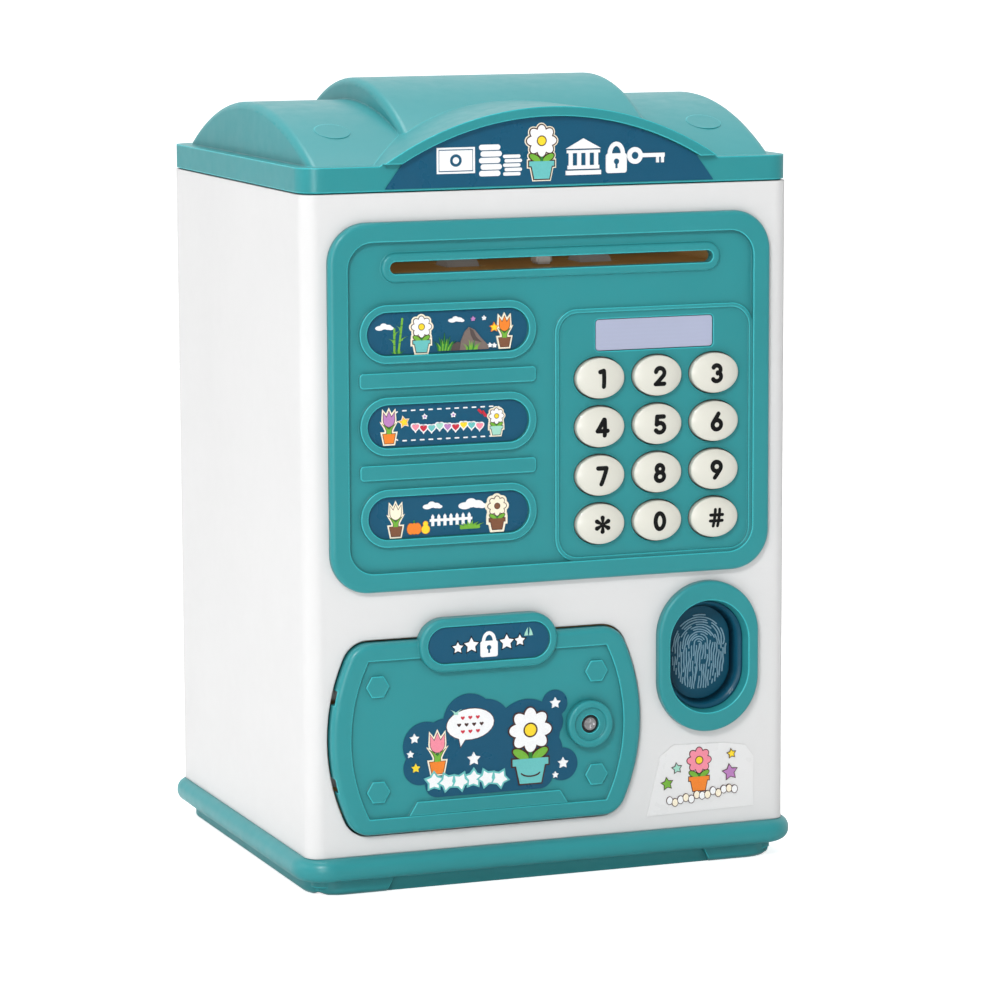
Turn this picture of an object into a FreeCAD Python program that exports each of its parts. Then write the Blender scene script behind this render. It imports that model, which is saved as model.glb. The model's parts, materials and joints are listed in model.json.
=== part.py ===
"""Toy cash-machine savings bank: case, roof, panel, keypad, safe door, lock and note feed.

Frame: origin under the middle of the foot, +X to the right, +Y to the back, +Z up, so
the front face looks along -Y.  Lengths are millimetres.  Every size lives in the sheet.
"""
import FreeCAD, Part
import math
import os
import re

import Sketcher
from FreeCAD import Rotation, Vector

TOP, FRONT, SIDE = "XY_Plane", "XZ_Plane", "YZ_Plane"
KEYS = ("1", "2", "3", "4", "5", "6", "7", "8", "9", "star", "0", "hash")

SIZES = {
    # white case, a tube with a closed front, back and sides
    "case_half_wide": 64.8, "face": 54.6, "case_low": 10, "case_high": 174.5,
    "case_round": 4, "wall": 2.2, "post_size": 7, "post_high": 19.8, "fit_gap": 0.2,
    # base tray with its foot and flange
    "base_half_wide": 67.5, "base_half_deep": 57.5, "foot_inset": 4, "foot_high": 4,
    "base_round": 9, "flange_fillet": 2.8, "foot_fillet": 1.2, "floor_thick": 3,
    "lip_high": 13, "lip_thick": 1.6, "notch_half": 42, "notch_deep": 1.4, "notch_slant": 2,
    # battery compartment, three cells side by side
    "cell_radius": 7.25, "cell_long": 49, "cell_pitch": 15, "cell_row": 20, "cell_up": 9.6,
    "nub_radius": 2.7, "nub_long": 1.3, "bay_half_wide": 28.5, "bay_half_deep": 23,
    "bay_high": 18, "bay_wall": 1.6, "hatch_low": 0.3, "hatch_high": 2, "hatch_rim": 1.6,
    "hatch_tongue": 5, "hatch_screw_back": 8,
    # screws
    "screw_head": 2.4, "screw_head_thick": 1.5, "screw_shank": 1.1, "screw_play": 0.15,
    "small_head": 1.9, "small_shank": 0.8,
    # speaker
    "speaker_right": 42, "speaker_front": 24, "speaker_radius": 14, "magnet_radius": 8,
    # roof cover
    "rim_half_wide": 65, "rim_half_deep": 54.7, "rim_high": 181, "rim_round": 5.6,
    "reveal": 0.4, "reveal_inset": 1, "skirt_low": 170.5, "roof_thick": 2.2,
    "vault_half_wide": 61.5, "vault_half_deep": 51.6, "vault_radius": 101, "vault_top": 194.4,
    "ridge_half_wide": 33.5, "ridge_radius": 68, "ridge_top": 200, "roof_fillet": 1.8,
    "arch_radius": 80.4, "arch_top": 194.7, "arch_band": 2.4, "arch_proud": 1.6,
    "arch_foot": 181.5, "arch_back": 24, "cap_radius": 4.5, "cap_right": 50,
    "cap_front": 34, "cap_deep": 1.5, "cap_proud": 0.12, "coin_half": 15, "coin_gap": 3.4, "coin_back": 20,
    # front panel
    "panel_half": 58.8, "panel_low": 76.2, "panel_high": 167.5, "panel_round": 10,
    "panel_front": 56.7, "field_front": 55.5, "field_back": 53.2, "frame_wide": 4.8,
    "field_round": 6.5, "frame_fillet": 0.8, "panel_fillet": 1.2,
    "slot_half": 43, "slot_low": 154.7, "slot_high": 157.8, "slot_lip": 2.1, "lip_proud": 0.9,
    "badge_x": -27.9, "badge_z": 140.1, "badge_pitch": 22.75, "badge_wide": 46.2,
    "badge_tall": 14.4, "badge_rim": 1.85, "badge_proud": 1, "bar_tall": 3.7, "bar_proud": 0.7,
    "pad_left": 0.4, "pad_right": 54.1, "pad_low": 80.9, "pad_high": 144.3, "pad_round": 6,
    "pad_line": 1, "pad_proud": 0.5,
    "window_left": 11.4, "window_right": 43.4, "window_low": 133.4, "window_high": 141.5,
    "window_lip": 1.4, "tab_left": 52, "tab_right": 55.6, "tab_tall": 10,
    # keys
    "key_left": 12.3, "key_top": 126.8, "key_pitch_x": 15.55, "key_pitch_z": 12.25,
    "key_half_wide": 6.4, "key_half_tall": 5.05, "key_gap": 0.35, "key_front": 58.2,
    "key_back": 52, "key_flange": 0.8, "dome_wide": 7.6, "dome_tall": 6.1, "dome_deep": 3.2,
    # boards behind the panel
    "board_front": 49.6, "board_thick": 1.6, "board_left": -0.4, "board_right": 51.8,
    "board_low": 82.4, "board_high": 142, "board_post": 1.7, "post_left": 2,
    "post_right": 50.4, "post_low": 84.5, "post_top": 140, "membrane_thick": 0.9,
    # safe door
    "door_x": -17.9, "door_z": 39.5, "door_half_wide": 41.4, "door_half_tall": 24.25,
    "door_arc": 50, "door_round": 6.5, "door_gap": 0.5, "door_back": 53.4,
    "door_front": 57, "door_field": 56.2, "door_border_x": 5.05, "door_border_z": 4.35,
    "door_fillet": 1.6, "door_skin_back": 54.2,
    "tag_x": -18.1, "tag_z": 62.15, "tag_wide": 36.7, "tag_tall": 13.5, "tag_rim": 2.1,
    "tag_back": 54.9, "tag_front": 58.1, "tag_floor": 57.5,
    "hex_radius": 3.05, "hex_left": -47.2, "hex_right": 11.1, "hex_low": 26.25,
    "hex_high": 52.8, "hex_front": 56.9, "wedge_low": 19.6, "wedge_high": 23,
    "wedge_low_half": 21.2, "wedge_high_half": 19.1,
    "knob_x": 9, "knob_radius": 6, "knob_ring": 4.15, "knob_hole": 2.35, "knob_front": 58.6,
    "knob_seat": 56.7, "knob_fillet": 0.5,
    "hinge_x": -55.5, "hinge_depth": 55.2, "hinge_reach": 11, "eye_half": 1.5, "eye_radius": 1.2,
    "pin_radius": 0.6, "pin_play": 0.05, "pin_half": 4.5, "eye_pocket_front": 56.15,
    "eye_play": 0.15,
    "strap_front": 50, "strap_back": 48.2, "spine_left": -62.4, "spine_right": -60.3, "spine_front": 50.5,
    "hook_left": 16, "hook_right": 18, "hook_back": 30, "hook_base_back": 51.8,
    # lock
    "bolt_depth": 34, "bolt_half": 1.75, "bolt_play": 0.2, "bolt_tip": 19, "bolt_tail": 38,
    "solenoid_right": 50, "solenoid_half": 6,
    # money bin
    "bin_low": 20, "bin_thick": 1.6, "bin_left": -62.2, "bin_right": 26, "bin_high": 79,
    "bin_depth": 51.8, "chute_right": 61.8, "chute_rise": 18, "chute_depth": 44,
    # fingerprint reader
    "reader_x": 42.05, "reader_z": 54.3, "reader_half": 13.75, "reader_straight": 5.65,
    "reader_front": 57.2, "reader_body": 12.4, "reader_back": 47.6, "mouth_half": 10.9,
    "mouth_straight": 3.65, "mouth_floor": 50.4, "touch_half": 9, "touch_front": 50.2,
    "touch_flange": 11, "touch_back": 46, "touch_flange_front": 47.2, "cup_back": 40.8,
    "funnel_angle": 12,
    # note feed
    "feed_depth": 36, "feed_z": 150.2, "feed_shaft": 1.5, "feed_wheel": 6.2,
    "idler_z": 160.6, "idler_shaft": 1, "idler_wheel": 4, "wheel_in": 13.7, "wheel_out": 22,
    "plate_in": 46, "plate_out": 48, "frame_front": 52.9, "frame_back": 24,
    "frame_low": 143.6, "frame_high": 162.4, "guide_low": 153.4, "guide_high": 154.6,
    "cover_low": 158, "cover_high": 159.2, "lug_out": 52, "lug_x": 50, "lug_low": 147.5,
    "lug_high": 160, "lug_half": 2, "shaft_play": 0.05,
    "gear_module": 0.6, "gear_wide": 3, "gear_backlash": 0.14, "pressure_angle": 25,
    "addendum": 0.8, "dedendum": 1.15, "small_teeth": 12, "large_teeth": 30,
    "roller_teeth": 24, "gear_x": 49, "gear_step": 4, "idle_angle": -5, "motor_angle": -134,
    "motor_radius": 10, "motor_flat": 7.6, "motor_left": 22.4, "motor_right": 45.8,
    "motor_boss": 3, "motor_shaft": 1, "stud_radius": 1.25,
    # main board
    "main_x": 58, "main_half": 28, "main_low": 24, "main_high": 70,
    # printed labels
    "label_thick": 0.2, "label_gap": 0.25, "sign_low": 175.4, "sign_half": 43.6,
    "sign_shoulder": 39, "sign_shoulder_z": 181.6,
}

doc = FreeCAD.newDocument("SavingsBank")
sheet = doc.addObject("Spreadsheet::Sheet", "Sizes")
parts = []


def fill_sheet():
    """One row for each size: its name in column A, its value in column B."""
    for row, (alias, size) in enumerate(SIZES.items(), 1):
        sheet.set(f"A{row}", alias)
        sheet.set(f"B{row}", str(size))
        sheet.setAlias(f"B{row}", alias)
    doc.recompute()


def formula(text):
    """A sum of sizes as a sheet expression: every size's name gets the sheet's prefix."""
    return re.sub(r"[a-z][a-z0-9_]*", lambda m: f"Sizes.{m[0]}" if m[0] in SIZES else m[0], text)


def bind(item, prop, text):
    item.setExpression(prop, formula(text))


def number(text):
    return float(sheet.evalExpression(formula(text)))


def piece(item, label):
    """Name a finished sub-part and put it on the list of pieces to write."""
    item.Label = label
    parts.append(item)
    return item


# ---------------------------------------------------------------- Part primitives

def block(x, y, z):
    """A box between two limits on each axis, each limit a formula."""
    item = doc.addObject("Part::Box", "Block")
    for prop, axis, (low, high) in (("Length", "x", x), ("Width", "y", y), ("Height", "z", z)):
        bind(item, prop, f"({high}) - ({low})")
        bind(item, f"Placement.Base.{axis}", low)
    return item


def rod(axis, radius, start, end, first, second):
    """A cylinder along X, Y or Z; first and second place it on the other two axes."""
    item = doc.addObject("Part::Cylinder", "Rod")
    turn = {"x": Rotation(Vector(0, 1, 0), 90), "y": Rotation(Vector(1, 0, 0), -90),
            "z": Rotation()}[axis]
    item.Placement = FreeCAD.Placement(Vector(), turn)
    others = [name for name in "xyz" if name != axis]
    bind(item, "Radius", radius)
    bind(item, "Height", f"({end}) - ({start})")
    for name, place in ((axis, start), (others[0], first), (others[1], second)):
        bind(item, f"Placement.Base.{name}", place)
    return item


def fuse(*items):
    result = doc.addObject("Part::MultiFuse", "Joined")
    result.Shapes = list(items)
    result.Refine = True
    return result


def cut(base, *tools):
    result = doc.addObject("Part::Cut", "Cutout")
    result.Base = base
    result.Tool = tools[0] if len(tools) == 1 else fuse(*tools)
    result.Refine = True
    return result


def common(first, second):
    result = doc.addObject("Part::Common", "Overlap")
    result.Base = first
    result.Tool = second
    return result


def round_edges(base, radius, wanted):
    """A Part::Fillet on the edges that `wanted` picks."""
    doc.recompute()
    size = number(radius)
    result = doc.addObject("Part::Fillet", "Rounded")
    result.Base = base
    result.Edges = [(index, size, size) for index, edge in enumerate(base.Shape.Edges, 1)
                    if wanted(edge)]
    return result


# ---------------------------------------------------------------- PartDesign bodies

def new_body(label):
    return piece(doc.addObject("PartDesign::Body", "Body"), label)


def anchor(sketch, geometry, point, x=None, y=None):
    """Hold a sketch point at a distance from the sketch's origin."""
    for kind, place in (("DistanceX", x), ("DistanceY", y)):
        if place is not None:
            index = sketch.addConstraint(
                Sketcher.Constraint(kind, -1, 1, geometry, point, number(place)))
            bind(sketch, f"Constraints[{index}]", place)


def size_of(sketch, kind, geometry, length):
    index = sketch.addConstraint(Sketcher.Constraint(kind, geometry, number(length)))
    bind(sketch, f"Constraints[{index}]", length)


def line(sketch, start, end):
    return sketch.addGeometry(Part.LineSegment(Vector(*start, 0), Vector(*end, 0)))


def arc(sketch, centre, radius, start, end):
    circle_at = Part.Circle(Vector(*centre, 0), Vector(0, 0, 1), radius)
    return sketch.addGeometry(
        Part.ArcOfCircle(circle_at, math.radians(start), math.radians(end)))


def rounded(left, right, low, high, radius):
    """A rectangle with round corners."""
    def draw(sketch):
        x0, x1, y0, y1, r = (number(text) for text in (left, right, low, high, radius))
        sides = (line(sketch, (x0 + r, y0), (x1 - r, y0)), line(sketch, (x1, y0 + r), (x1, y1 - r)),
                 line(sketch, (x1 - r, y1), (x0 + r, y1)), line(sketch, (x0, y1 - r), (x0, y0 + r)))
        corners = (arc(sketch, (x1 - r, y0 + r), r, 270, 360), arc(sketch, (x1 - r, y1 - r), r, 0, 90),
                   arc(sketch, (x0 + r, y1 - r), r, 90, 180), arc(sketch, (x0 + r, y0 + r), r, 180, 270))
        for turn, corner in enumerate(corners):
            sketch.addConstraint(Sketcher.Constraint("Tangent", sides[turn], 2, corner, 1))
            sketch.addConstraint(Sketcher.Constraint("Tangent", corner, 2, sides[(turn + 1) % 4], 1))
            sketch.addConstraint(
                Sketcher.Constraint("Vertical" if turn % 2 else "Horizontal", sides[turn]))
            if turn:
                sketch.addConstraint(Sketcher.Constraint("Equal", corners[0], corner))
        size_of(sketch, "Radius", corners[0], radius)
        anchor(sketch, sides[0], 1, y=low)
        anchor(sketch, sides[1], 1, x=right)
        anchor(sketch, sides[2], 1, y=high)
        anchor(sketch, sides[3], 1, x=left)
    return draw


def stadium(x, y, half_long, half_wide, upright=False):
    """A slot with half-round ends, lying along X or standing upright."""
    def draw(sketch):
        cx, cy, reach, r = number(x), number(y), number(f"({half_long}) - ({half_wide})"), number(half_wide)
        if upright:
            ends = (arc(sketch, (cx, cy + reach), r, 0, 180), arc(sketch, (cx, cy - reach), r, 180, 360))
            runs = (line(sketch, (cx - r, cy + reach), (cx - r, cy - reach)),
                    line(sketch, (cx + r, cy - reach), (cx + r, cy + reach)))
        else:
            ends = (arc(sketch, (cx - reach, cy), r, 90, 270), arc(sketch, (cx + reach, cy), r, 270, 450))
            runs = (line(sketch, (cx - reach, cy - r), (cx + reach, cy - r)),
                    line(sketch, (cx + reach, cy + r), (cx - reach, cy + r)))
        for first, second in ((0, 0), (1, 1)):
            sketch.addConstraint(Sketcher.Constraint("Tangent", ends[first], 2, runs[second], 1))
            sketch.addConstraint(Sketcher.Constraint("Tangent", runs[second], 2, ends[1 - first], 1))
            sketch.addConstraint(
                Sketcher.Constraint("Vertical" if upright else "Horizontal", runs[second]))
        size_of(sketch, "Radius", ends[0], half_wide)
        gap = f"(({half_long}) - ({half_wide}))"
        if upright:
            anchor(sketch, ends[0], 3, x=x, y=f"({y}) + {gap}")
            anchor(sketch, ends[1], 3, y=f"({y}) - {gap}")
        else:
            anchor(sketch, ends[0], 3, x=f"({x}) - {gap}", y=y)
            anchor(sketch, ends[1], 3, x=f"({x}) + {gap}")
    return draw


def circle(x, y, radius):
    def draw(sketch):
        index = sketch.addGeometry(
            Part.Circle(Vector(number(x), number(y), 0), Vector(0, 0, 1), number(radius)))
        size_of(sketch, "Radius", index, radius)
        anchor(sketch, index, 3, x=x, y=y)
    return draw


def ellipse(x, y, half_wide, half_tall):
    """An ellipse with its long axis along the sketch's X."""
    def draw(sketch):
        cx, cy, a, b = (number(text) for text in (x, y, half_wide, half_tall))
        index = sketch.addGeometry(
            Part.Ellipse(Vector(cx + a, cy, 0), Vector(cx, cy + b, 0), Vector(cx, cy, 0)))
        sketch.exposeInternalGeometry(index)
        sketch.addConstraint(Sketcher.Constraint("Horizontal", index + 1))
        anchor(sketch, index, 3, x=x, y=y)
        size_of(sketch, "Distance", index + 1, f"2 * ({half_wide})")
        size_of(sketch, "Distance", index + 2, f"2 * ({half_tall})")
    return draw


def polygon(*corners):
    """Straight sides through corners, each a pair of formulas."""
    def draw(sketch):
        points = [(number(x), number(y)) for x, y in corners]
        sides = [line(sketch, point, points[(turn + 1) % len(points)])
                 for turn, point in enumerate(points)]
        for turn, side in enumerate(sides):
            sketch.addConstraint(
                Sketcher.Constraint("Coincident", side, 2, sides[(turn + 1) % len(sides)], 1))
            anchor(sketch, side, 1, x=corners[turn][0], y=corners[turn][1])
    return draw


def barrel(x, y, half_wide, half_tall, radius):
    """Flat top and bottom joined by two bulging arcs."""
    def draw(sketch):
        cx, cy, w, h, r = (number(text) for text in (x, y, half_wide, half_tall, radius))
        swing = math.degrees(math.asin(h / r))
        inner = w - r + r * math.cos(math.radians(swing))
        bottom = line(sketch, (cx - inner, cy - h), (cx + inner, cy - h))
        right = arc(sketch, (cx + w - r, cy), r, -swing, swing)
        top = line(sketch, (cx + inner, cy + h), (cx - inner, cy + h))
        left = arc(sketch, (cx - w + r, cy), r, 180 - swing, 180 + swing)
        ring = (bottom, right, top, left)
        for turn, side in enumerate(ring):
            sketch.addConstraint(Sketcher.Constraint("Coincident", side, 2, ring[(turn + 1) % 4], 1))
        for side in (bottom, top):
            sketch.addConstraint(Sketcher.Constraint("Horizontal", side))
        for side in (right, left):
            size_of(sketch, "Radius", side, radius)
        anchor(sketch, bottom, 1, y=f"({y}) - ({half_tall})")
        anchor(sketch, top, 1, y=f"({y}) + ({half_tall})")
        anchor(sketch, right, 3, x=f"({x}) + ({half_wide}) - ({radius})", y=y)
        anchor(sketch, left, 3, x=f"({x}) - ({half_wide}) + ({radius})", y=y)
    return draw


def slab(body, plane, start, end, *drawings, hollow=False):
    """Pad drawings from start to end along the plane's normal, or pocket them out.

    The normal of FRONT is -Y, so there start and end are depths towards the front.
    """
    sketch = body.newObject("Sketcher::SketchObject", "Sketch")
    support = next(item for item in body.Origin.OriginFeatures if item.Role == plane)
    sketch.AttachmentSupport = [(support, "")]
    sketch.MapMode = "FlatFace"
    bind(sketch, "AttachmentOffset.Base.z", end if hollow else start)
    for drawing in drawings:
        drawing(sketch)
    feature = body.newObject("PartDesign::Pocket" if hollow else "PartDesign::Pad", "Slab")
    feature.Profile = sketch
    bind(feature, "Length", f"({end}) - ({start})")
    sketch.Visibility = False
    return feature


def soften(body, radius, wanted):
    """A PartDesign fillet on the body's edges that `wanted` picks."""
    doc.recompute()
    tip = body.Tip
    names = [f"Edge{index}" for index, edge in enumerate(tip.Shape.Edges, 1) if wanted(edge)]
    feature = body.newObject("PartDesign::Fillet", "Fillet")
    feature.Base = (tip, names)
    bind(feature, "Radius", radius)
    return feature


def lies_at(axis, place):
    """Picks edges whose two ends and middle all lie at one place on an axis."""
    level = number(place)

    def wanted(edge):
        box = edge.BoundBox
        low, high = getattr(box, axis.upper() + "Min"), getattr(box, axis.upper() + "Max")
        return abs(low - level) < 1e-4 and abs(high - level) < 1e-4
    return wanted


def corner_edges(axis, length):
    """Picks straight edges along an axis that are at least this long."""
    least = number(length) - 1e-4

    def wanted(edge):
        box = edge.BoundBox
        spans = {"x": box.XLength, "y": box.YLength, "z": box.ZLength}
        return spans[axis] >= least and all(spans[name] < 1e-4 for name in spans if name != axis)
    return wanted


# ---------------------------------------------------------------- case and base

def at_corners(across, deep):
    """The four corner places as formulas."""
    return [(f"{sx}({across})", f"{sy}({deep})") for sx in ("", "-") for sy in ("", "-")]


POST_X = "case_half_wide - wall - post_size / 2"
POST_Y = "face - wall - post_size / 2"
HATCH_SCREW_Y = "cell_row - bay_half_deep - hatch_screw_back"
SPEAKER = ("speaker_right", "-speaker_front")


def through_front_wall(edge):
    """The straight edges that run through the front wall from face to face."""
    box = edge.BoundBox
    across = box.XLength < 1e-4 and box.ZLength < 1e-4
    return across and abs(box.YMin + number("face")) < 1e-4 and abs(box.YLength - number("wall")) < 1e-4


def main_case():
    body = new_body("main_case")
    slab(body, TOP, "case_low", "case_high",
         rounded("-case_half_wide", "case_half_wide", "-face", "face", "case_round"))
    slab(body, TOP, "case_low", "case_high",
         rounded("wall - case_half_wide", "case_half_wide - wall", "wall - face", "face - wall",
                 "case_round - wall"), hollow=True)
    door_hole = barrel("door_x", "door_z", "door_half_wide + door_gap",
                       "door_half_tall + door_gap", "door_arc + door_gap")
    slab(body, FRONT, "face - wall", "face", door_hole, hollow=True)
    soften(body, "door_round + door_gap", through_front_wall)
    corners = at_corners(POST_X, POST_Y)
    slab(body, TOP, "lip_high + fit_gap", "post_high",
         *[rounded(f"{x} - post_size / 2", f"{x} + post_size / 2", f"{y} - post_size / 2",
                   f"{y} + post_size / 2", "0.5") for x, y in corners])
    slab(body, TOP, "lip_high + fit_gap", "post_high",
         *[circle(x, y, "screw_shank") for x, y in corners], hollow=True)
    slab(body, FRONT, "face - wall", "face",
         rounded("frame_wide - panel_half", "panel_half - frame_wide", "panel_low + frame_wide",
                 "panel_high - frame_wide", "field_round"), hollow=True)
    reader_hole = stadium("reader_x", "reader_z", "reader_body + reader_straight + fit_gap",
                          "reader_body + fit_gap", upright=True)
    slab(body, FRONT, "face - wall", "face", reader_hole, hollow=True)


def flange_rim(edge):
    """The flange's outline, above and below."""
    box = edge.BoundBox
    outside = box.XMax > number("base_half_wide") - 0.1 or box.XMin < 0.1 - number("base_half_wide") \
        or box.YMax > number("base_half_deep") - 0.1 or box.YMin < 0.1 - number("base_half_deep")
    return outside and box.ZLength < 1e-4


def base_tray():
    body = new_body("base_tray")
    foot_x, foot_y = "base_half_wide - foot_inset", "base_half_deep - foot_inset"
    slab(body, TOP, "0", "foot_high", rounded(f"-({foot_x})", foot_x, f"-({foot_y})", foot_y, "base_round"))
    soften(body, "foot_fillet", lies_at("z", "0"))
    slab(body, TOP, "foot_high", "case_low",
         rounded("-base_half_wide", "base_half_wide", "-base_half_deep", "base_half_deep", "base_round"))
    soften(body, "flange_fillet", flange_rim)
    lip_x, lip_y = "case_half_wide - wall - fit_gap", "face - wall - fit_gap"
    slab(body, TOP, "case_low", "lip_high", rounded(f"-({lip_x})", lip_x, f"-({lip_y})", lip_y, "1.6"))
    inner_x, inner_y = f"{lip_x} - lip_thick", f"{lip_y} - lip_thick"
    slab(body, TOP, "floor_thick", "lip_high",
         rounded(f"-({inner_x})", inner_x, f"-({inner_y})", inner_y, "1"), hollow=True)
    bay_x, bay_y = "bay_half_wide + bay_wall", "bay_half_deep + bay_wall"
    slab(body, TOP, "floor_thick - 1", "bay_high + bay_wall",
         rounded(f"-({bay_x})", bay_x, f"cell_row - ({bay_y})", f"cell_row + {bay_y}", "2"))
    slab(body, TOP, "hatch_high - 1", "bay_high",
         rounded("-bay_half_wide", "bay_half_wide", "cell_row - bay_half_deep",
                 "cell_row + bay_half_deep", "1"), hollow=True)
    rim_x = "bay_half_wide + hatch_rim + fit_gap"
    rim_y = "bay_half_deep + hatch_rim + fit_gap"
    slab(body, TOP, "0", "hatch_high",
         rounded(f"-({rim_x})", rim_x, f"cell_row - ({rim_y})", f"cell_row + {rim_y}", "2"), hollow=True)
    slab(body, TOP, "floor_thick - 1", "case_low", circle("0", HATCH_SCREW_Y, "screw_head"))
    slab(body, TOP, "0", "hatch_high",
         rounded("-hatch_tongue - fit_gap", "hatch_tongue + fit_gap", f"{HATCH_SCREW_Y} - hatch_tongue",
                 "cell_row - bay_half_deep", "1"), hollow=True)
    slab(body, TOP, "0", "case_low", circle("0", HATCH_SCREW_Y, "screw_shank"), hollow=True)
    corners = at_corners(POST_X, POST_Y)
    slab(body, TOP, "floor_thick - 1", "lip_high",
         *[circle(x, y, "post_size / 2 - fit_gap") for x, y in corners])
    slab(body, TOP, "0", "lip_high",
         *[circle(x, y, "screw_shank + screw_play") for x, y in corners], hollow=True)
    slab(body, TOP, "0", "0.8 + screw_head_thick",
         *[circle(x, y, "screw_head + screw_play") for x, y in corners], hollow=True)
    holes = [circle("speaker_right", "-speaker_front", "1")]
    for ring, count in ((4.2, 6), (8.4, 12)):
        for turn in range(count):
            angle = 360 * turn / count
            holes.append(circle(f"speaker_right + {ring} * cos({angle})",
                                f"{ring} * sin({angle}) - speaker_front", "1"))
    slab(body, TOP, "0", "floor_thick", *holes, hollow=True)
    slab(body, FRONT, "base_half_deep - foot_inset - notch_deep", "base_half_deep - foot_inset",
         polygon(("-notch_half", "foot_high"), ("-notch_half - notch_slant", "0"),
                 ("notch_half + notch_slant", "0"), ("notch_half", "foot_high")), hollow=True)


def screw(x, y, low, head, head_thick, shank, top):
    """A cap screw pointing up: head below, shank above."""
    return fuse(rod("z", head, low, f"{low} + {head_thick}", x, y),
                rod("z", shank, f"{low} + {head_thick}", top, x, y))


def base_screws():
    piece(fuse(*[screw(x, y, "0.8", "screw_head", "screw_head_thick", "screw_shank", "post_high - 1")
                 for x, y in at_corners(POST_X, POST_Y)]), "base_screws")


def battery_parts():
    body = new_body("battery_door")
    half_x, half_y = "bay_half_wide + hatch_rim", "bay_half_deep + hatch_rim"
    slab(body, TOP, "hatch_low", "hatch_high",
         rounded(f"-({half_x})", half_x, f"cell_row - ({half_y})", f"cell_row + {half_y}", "2"))
    slab(body, TOP, "hatch_low", "hatch_high",
         rounded("-hatch_tongue", "hatch_tongue", f"{HATCH_SCREW_Y} - hatch_tongue + fit_gap",
                 "cell_row - bay_half_deep", "1"))
    slab(body, TOP, "hatch_low", "hatch_high",
         circle("0", HATCH_SCREW_Y, "screw_shank + screw_play"), hollow=True)
    slab(body, TOP, "hatch_low", "hatch_low + 0.8",
         circle("0", HATCH_SCREW_Y, "screw_head - 0.3"), hollow=True)
    piece(screw("0", HATCH_SCREW_Y, "hatch_low", "screw_head - 0.4", "0.8", "screw_shank", "case_low - 1"),
          "battery_door_screw")
    cells, springs, plates = [], [], []
    for row in (-1, 0, 1):
        y = f"cell_row + {row} * cell_pitch"
        side = "-" if row else ""
        near, far, tip = ("-cell_long / 2", "cell_long / 2", "cell_long / 2 + nub_long")
        if side:
            cells.append(fuse(rod("x", "cell_radius", near, far, y, "cell_up"),
                              rod("x", "nub_radius", f"-({tip})", near, y, "cell_up")))
        else:
            cells.append(fuse(rod("x", "cell_radius", near, far, y, "cell_up"),
                              rod("x", "nub_radius", far, tip, y, "cell_up")))
        start, end = (far, "bay_half_wide - 0.4") if side else ("0.4 - bay_half_wide", near)
        springs.append(coil(start, end, y))
        across = (f"{y} - nub_radius * 2", f"{y} + nub_radius * 2")
        upright = ("cell_up - 5", "cell_up + 5")
        plates.append(block(("bay_half_wide - 0.4", "bay_half_wide") if side else
                            ("-bay_half_wide", "0.4 - bay_half_wide"), across, upright))
        plates.append(block((f"-({tip}) - 0.3", f"-({tip})") if side else (tip, f"{tip} + 0.3"),
                            across, upright))
    piece(fuse(*cells), "aa_batteries")
    piece(fuse(*springs), "battery_springs")
    piece(fuse(*plates), "battery_contacts")


def coil(start, end, y):
    """A battery spring as three wire rings held by two spines."""
    rings = []
    for turn in range(3):
        ring = doc.addObject("Part::Torus", "Ring")
        bind(ring, "Radius1", "nub_radius + 0.6")
        bind(ring, "Radius2", "0.35")
        ring.Placement = FreeCAD.Placement(Vector(), Rotation(Vector(0, 1, 0), 90))
        bind(ring, "Placement.Base.x", f"({start}) + (({end}) - ({start})) * {turn + 0.5} / 3")
        bind(ring, "Placement.Base.y", y)
        bind(ring, "Placement.Base.z", "cell_up")
        rings.append(ring)
    for sign in ("+", "-"):
        rings.append(rod("x", "0.3", start, end, y, f"cell_up {sign} (nub_radius + 0.6)"))
    return fuse(*rings)


def speaker():
    x, y = SPEAKER
    piece(fuse(rod("z", "speaker_radius", "floor_thick", "floor_thick + 2.5", x, y),
               rod("z", "magnet_radius", "floor_thick + 2.5", "floor_thick + 7", x, y)), "speaker")


# ---------------------------------------------------------------- roof

def vault(half_wide, half_deep, radius, top, low):
    """A barrel roof: a box under a cylinder that lies along X."""
    return common(block((f"-({half_wide})", half_wide), (f"-({half_deep})", half_deep), (low, top)),
                  rod("x", radius, f"-({half_wide}) - 1", f"{half_wide} + 1", "0", f"{top} - ({radius})"))


def cap_mark(right):
    """A round cap almost flush with the vault: a cylinder square to the vault's slope."""
    item = doc.addObject("Part::Cylinder", "CapMark")
    lean = math.degrees(math.asin(number("cap_front") / number("vault_radius")))
    item.Placement = FreeCAD.Placement(Vector(), Rotation(Vector(1, 0, 0), lean))
    share = "(vault_radius - cap_deep) / vault_radius"
    bind(item, "Radius", "cap_radius")
    bind(item, "Height", "cap_deep + cap_proud")
    bind(item, "Placement.Base.x", right)
    bind(item, "Placement.Base.y", f"-cap_front * {share}")
    bind(item, "Placement.Base.z",
         f"vault_top - vault_radius + sqrt(vault_radius * vault_radius - cap_front * cap_front) * {share}")
    return item


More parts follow.
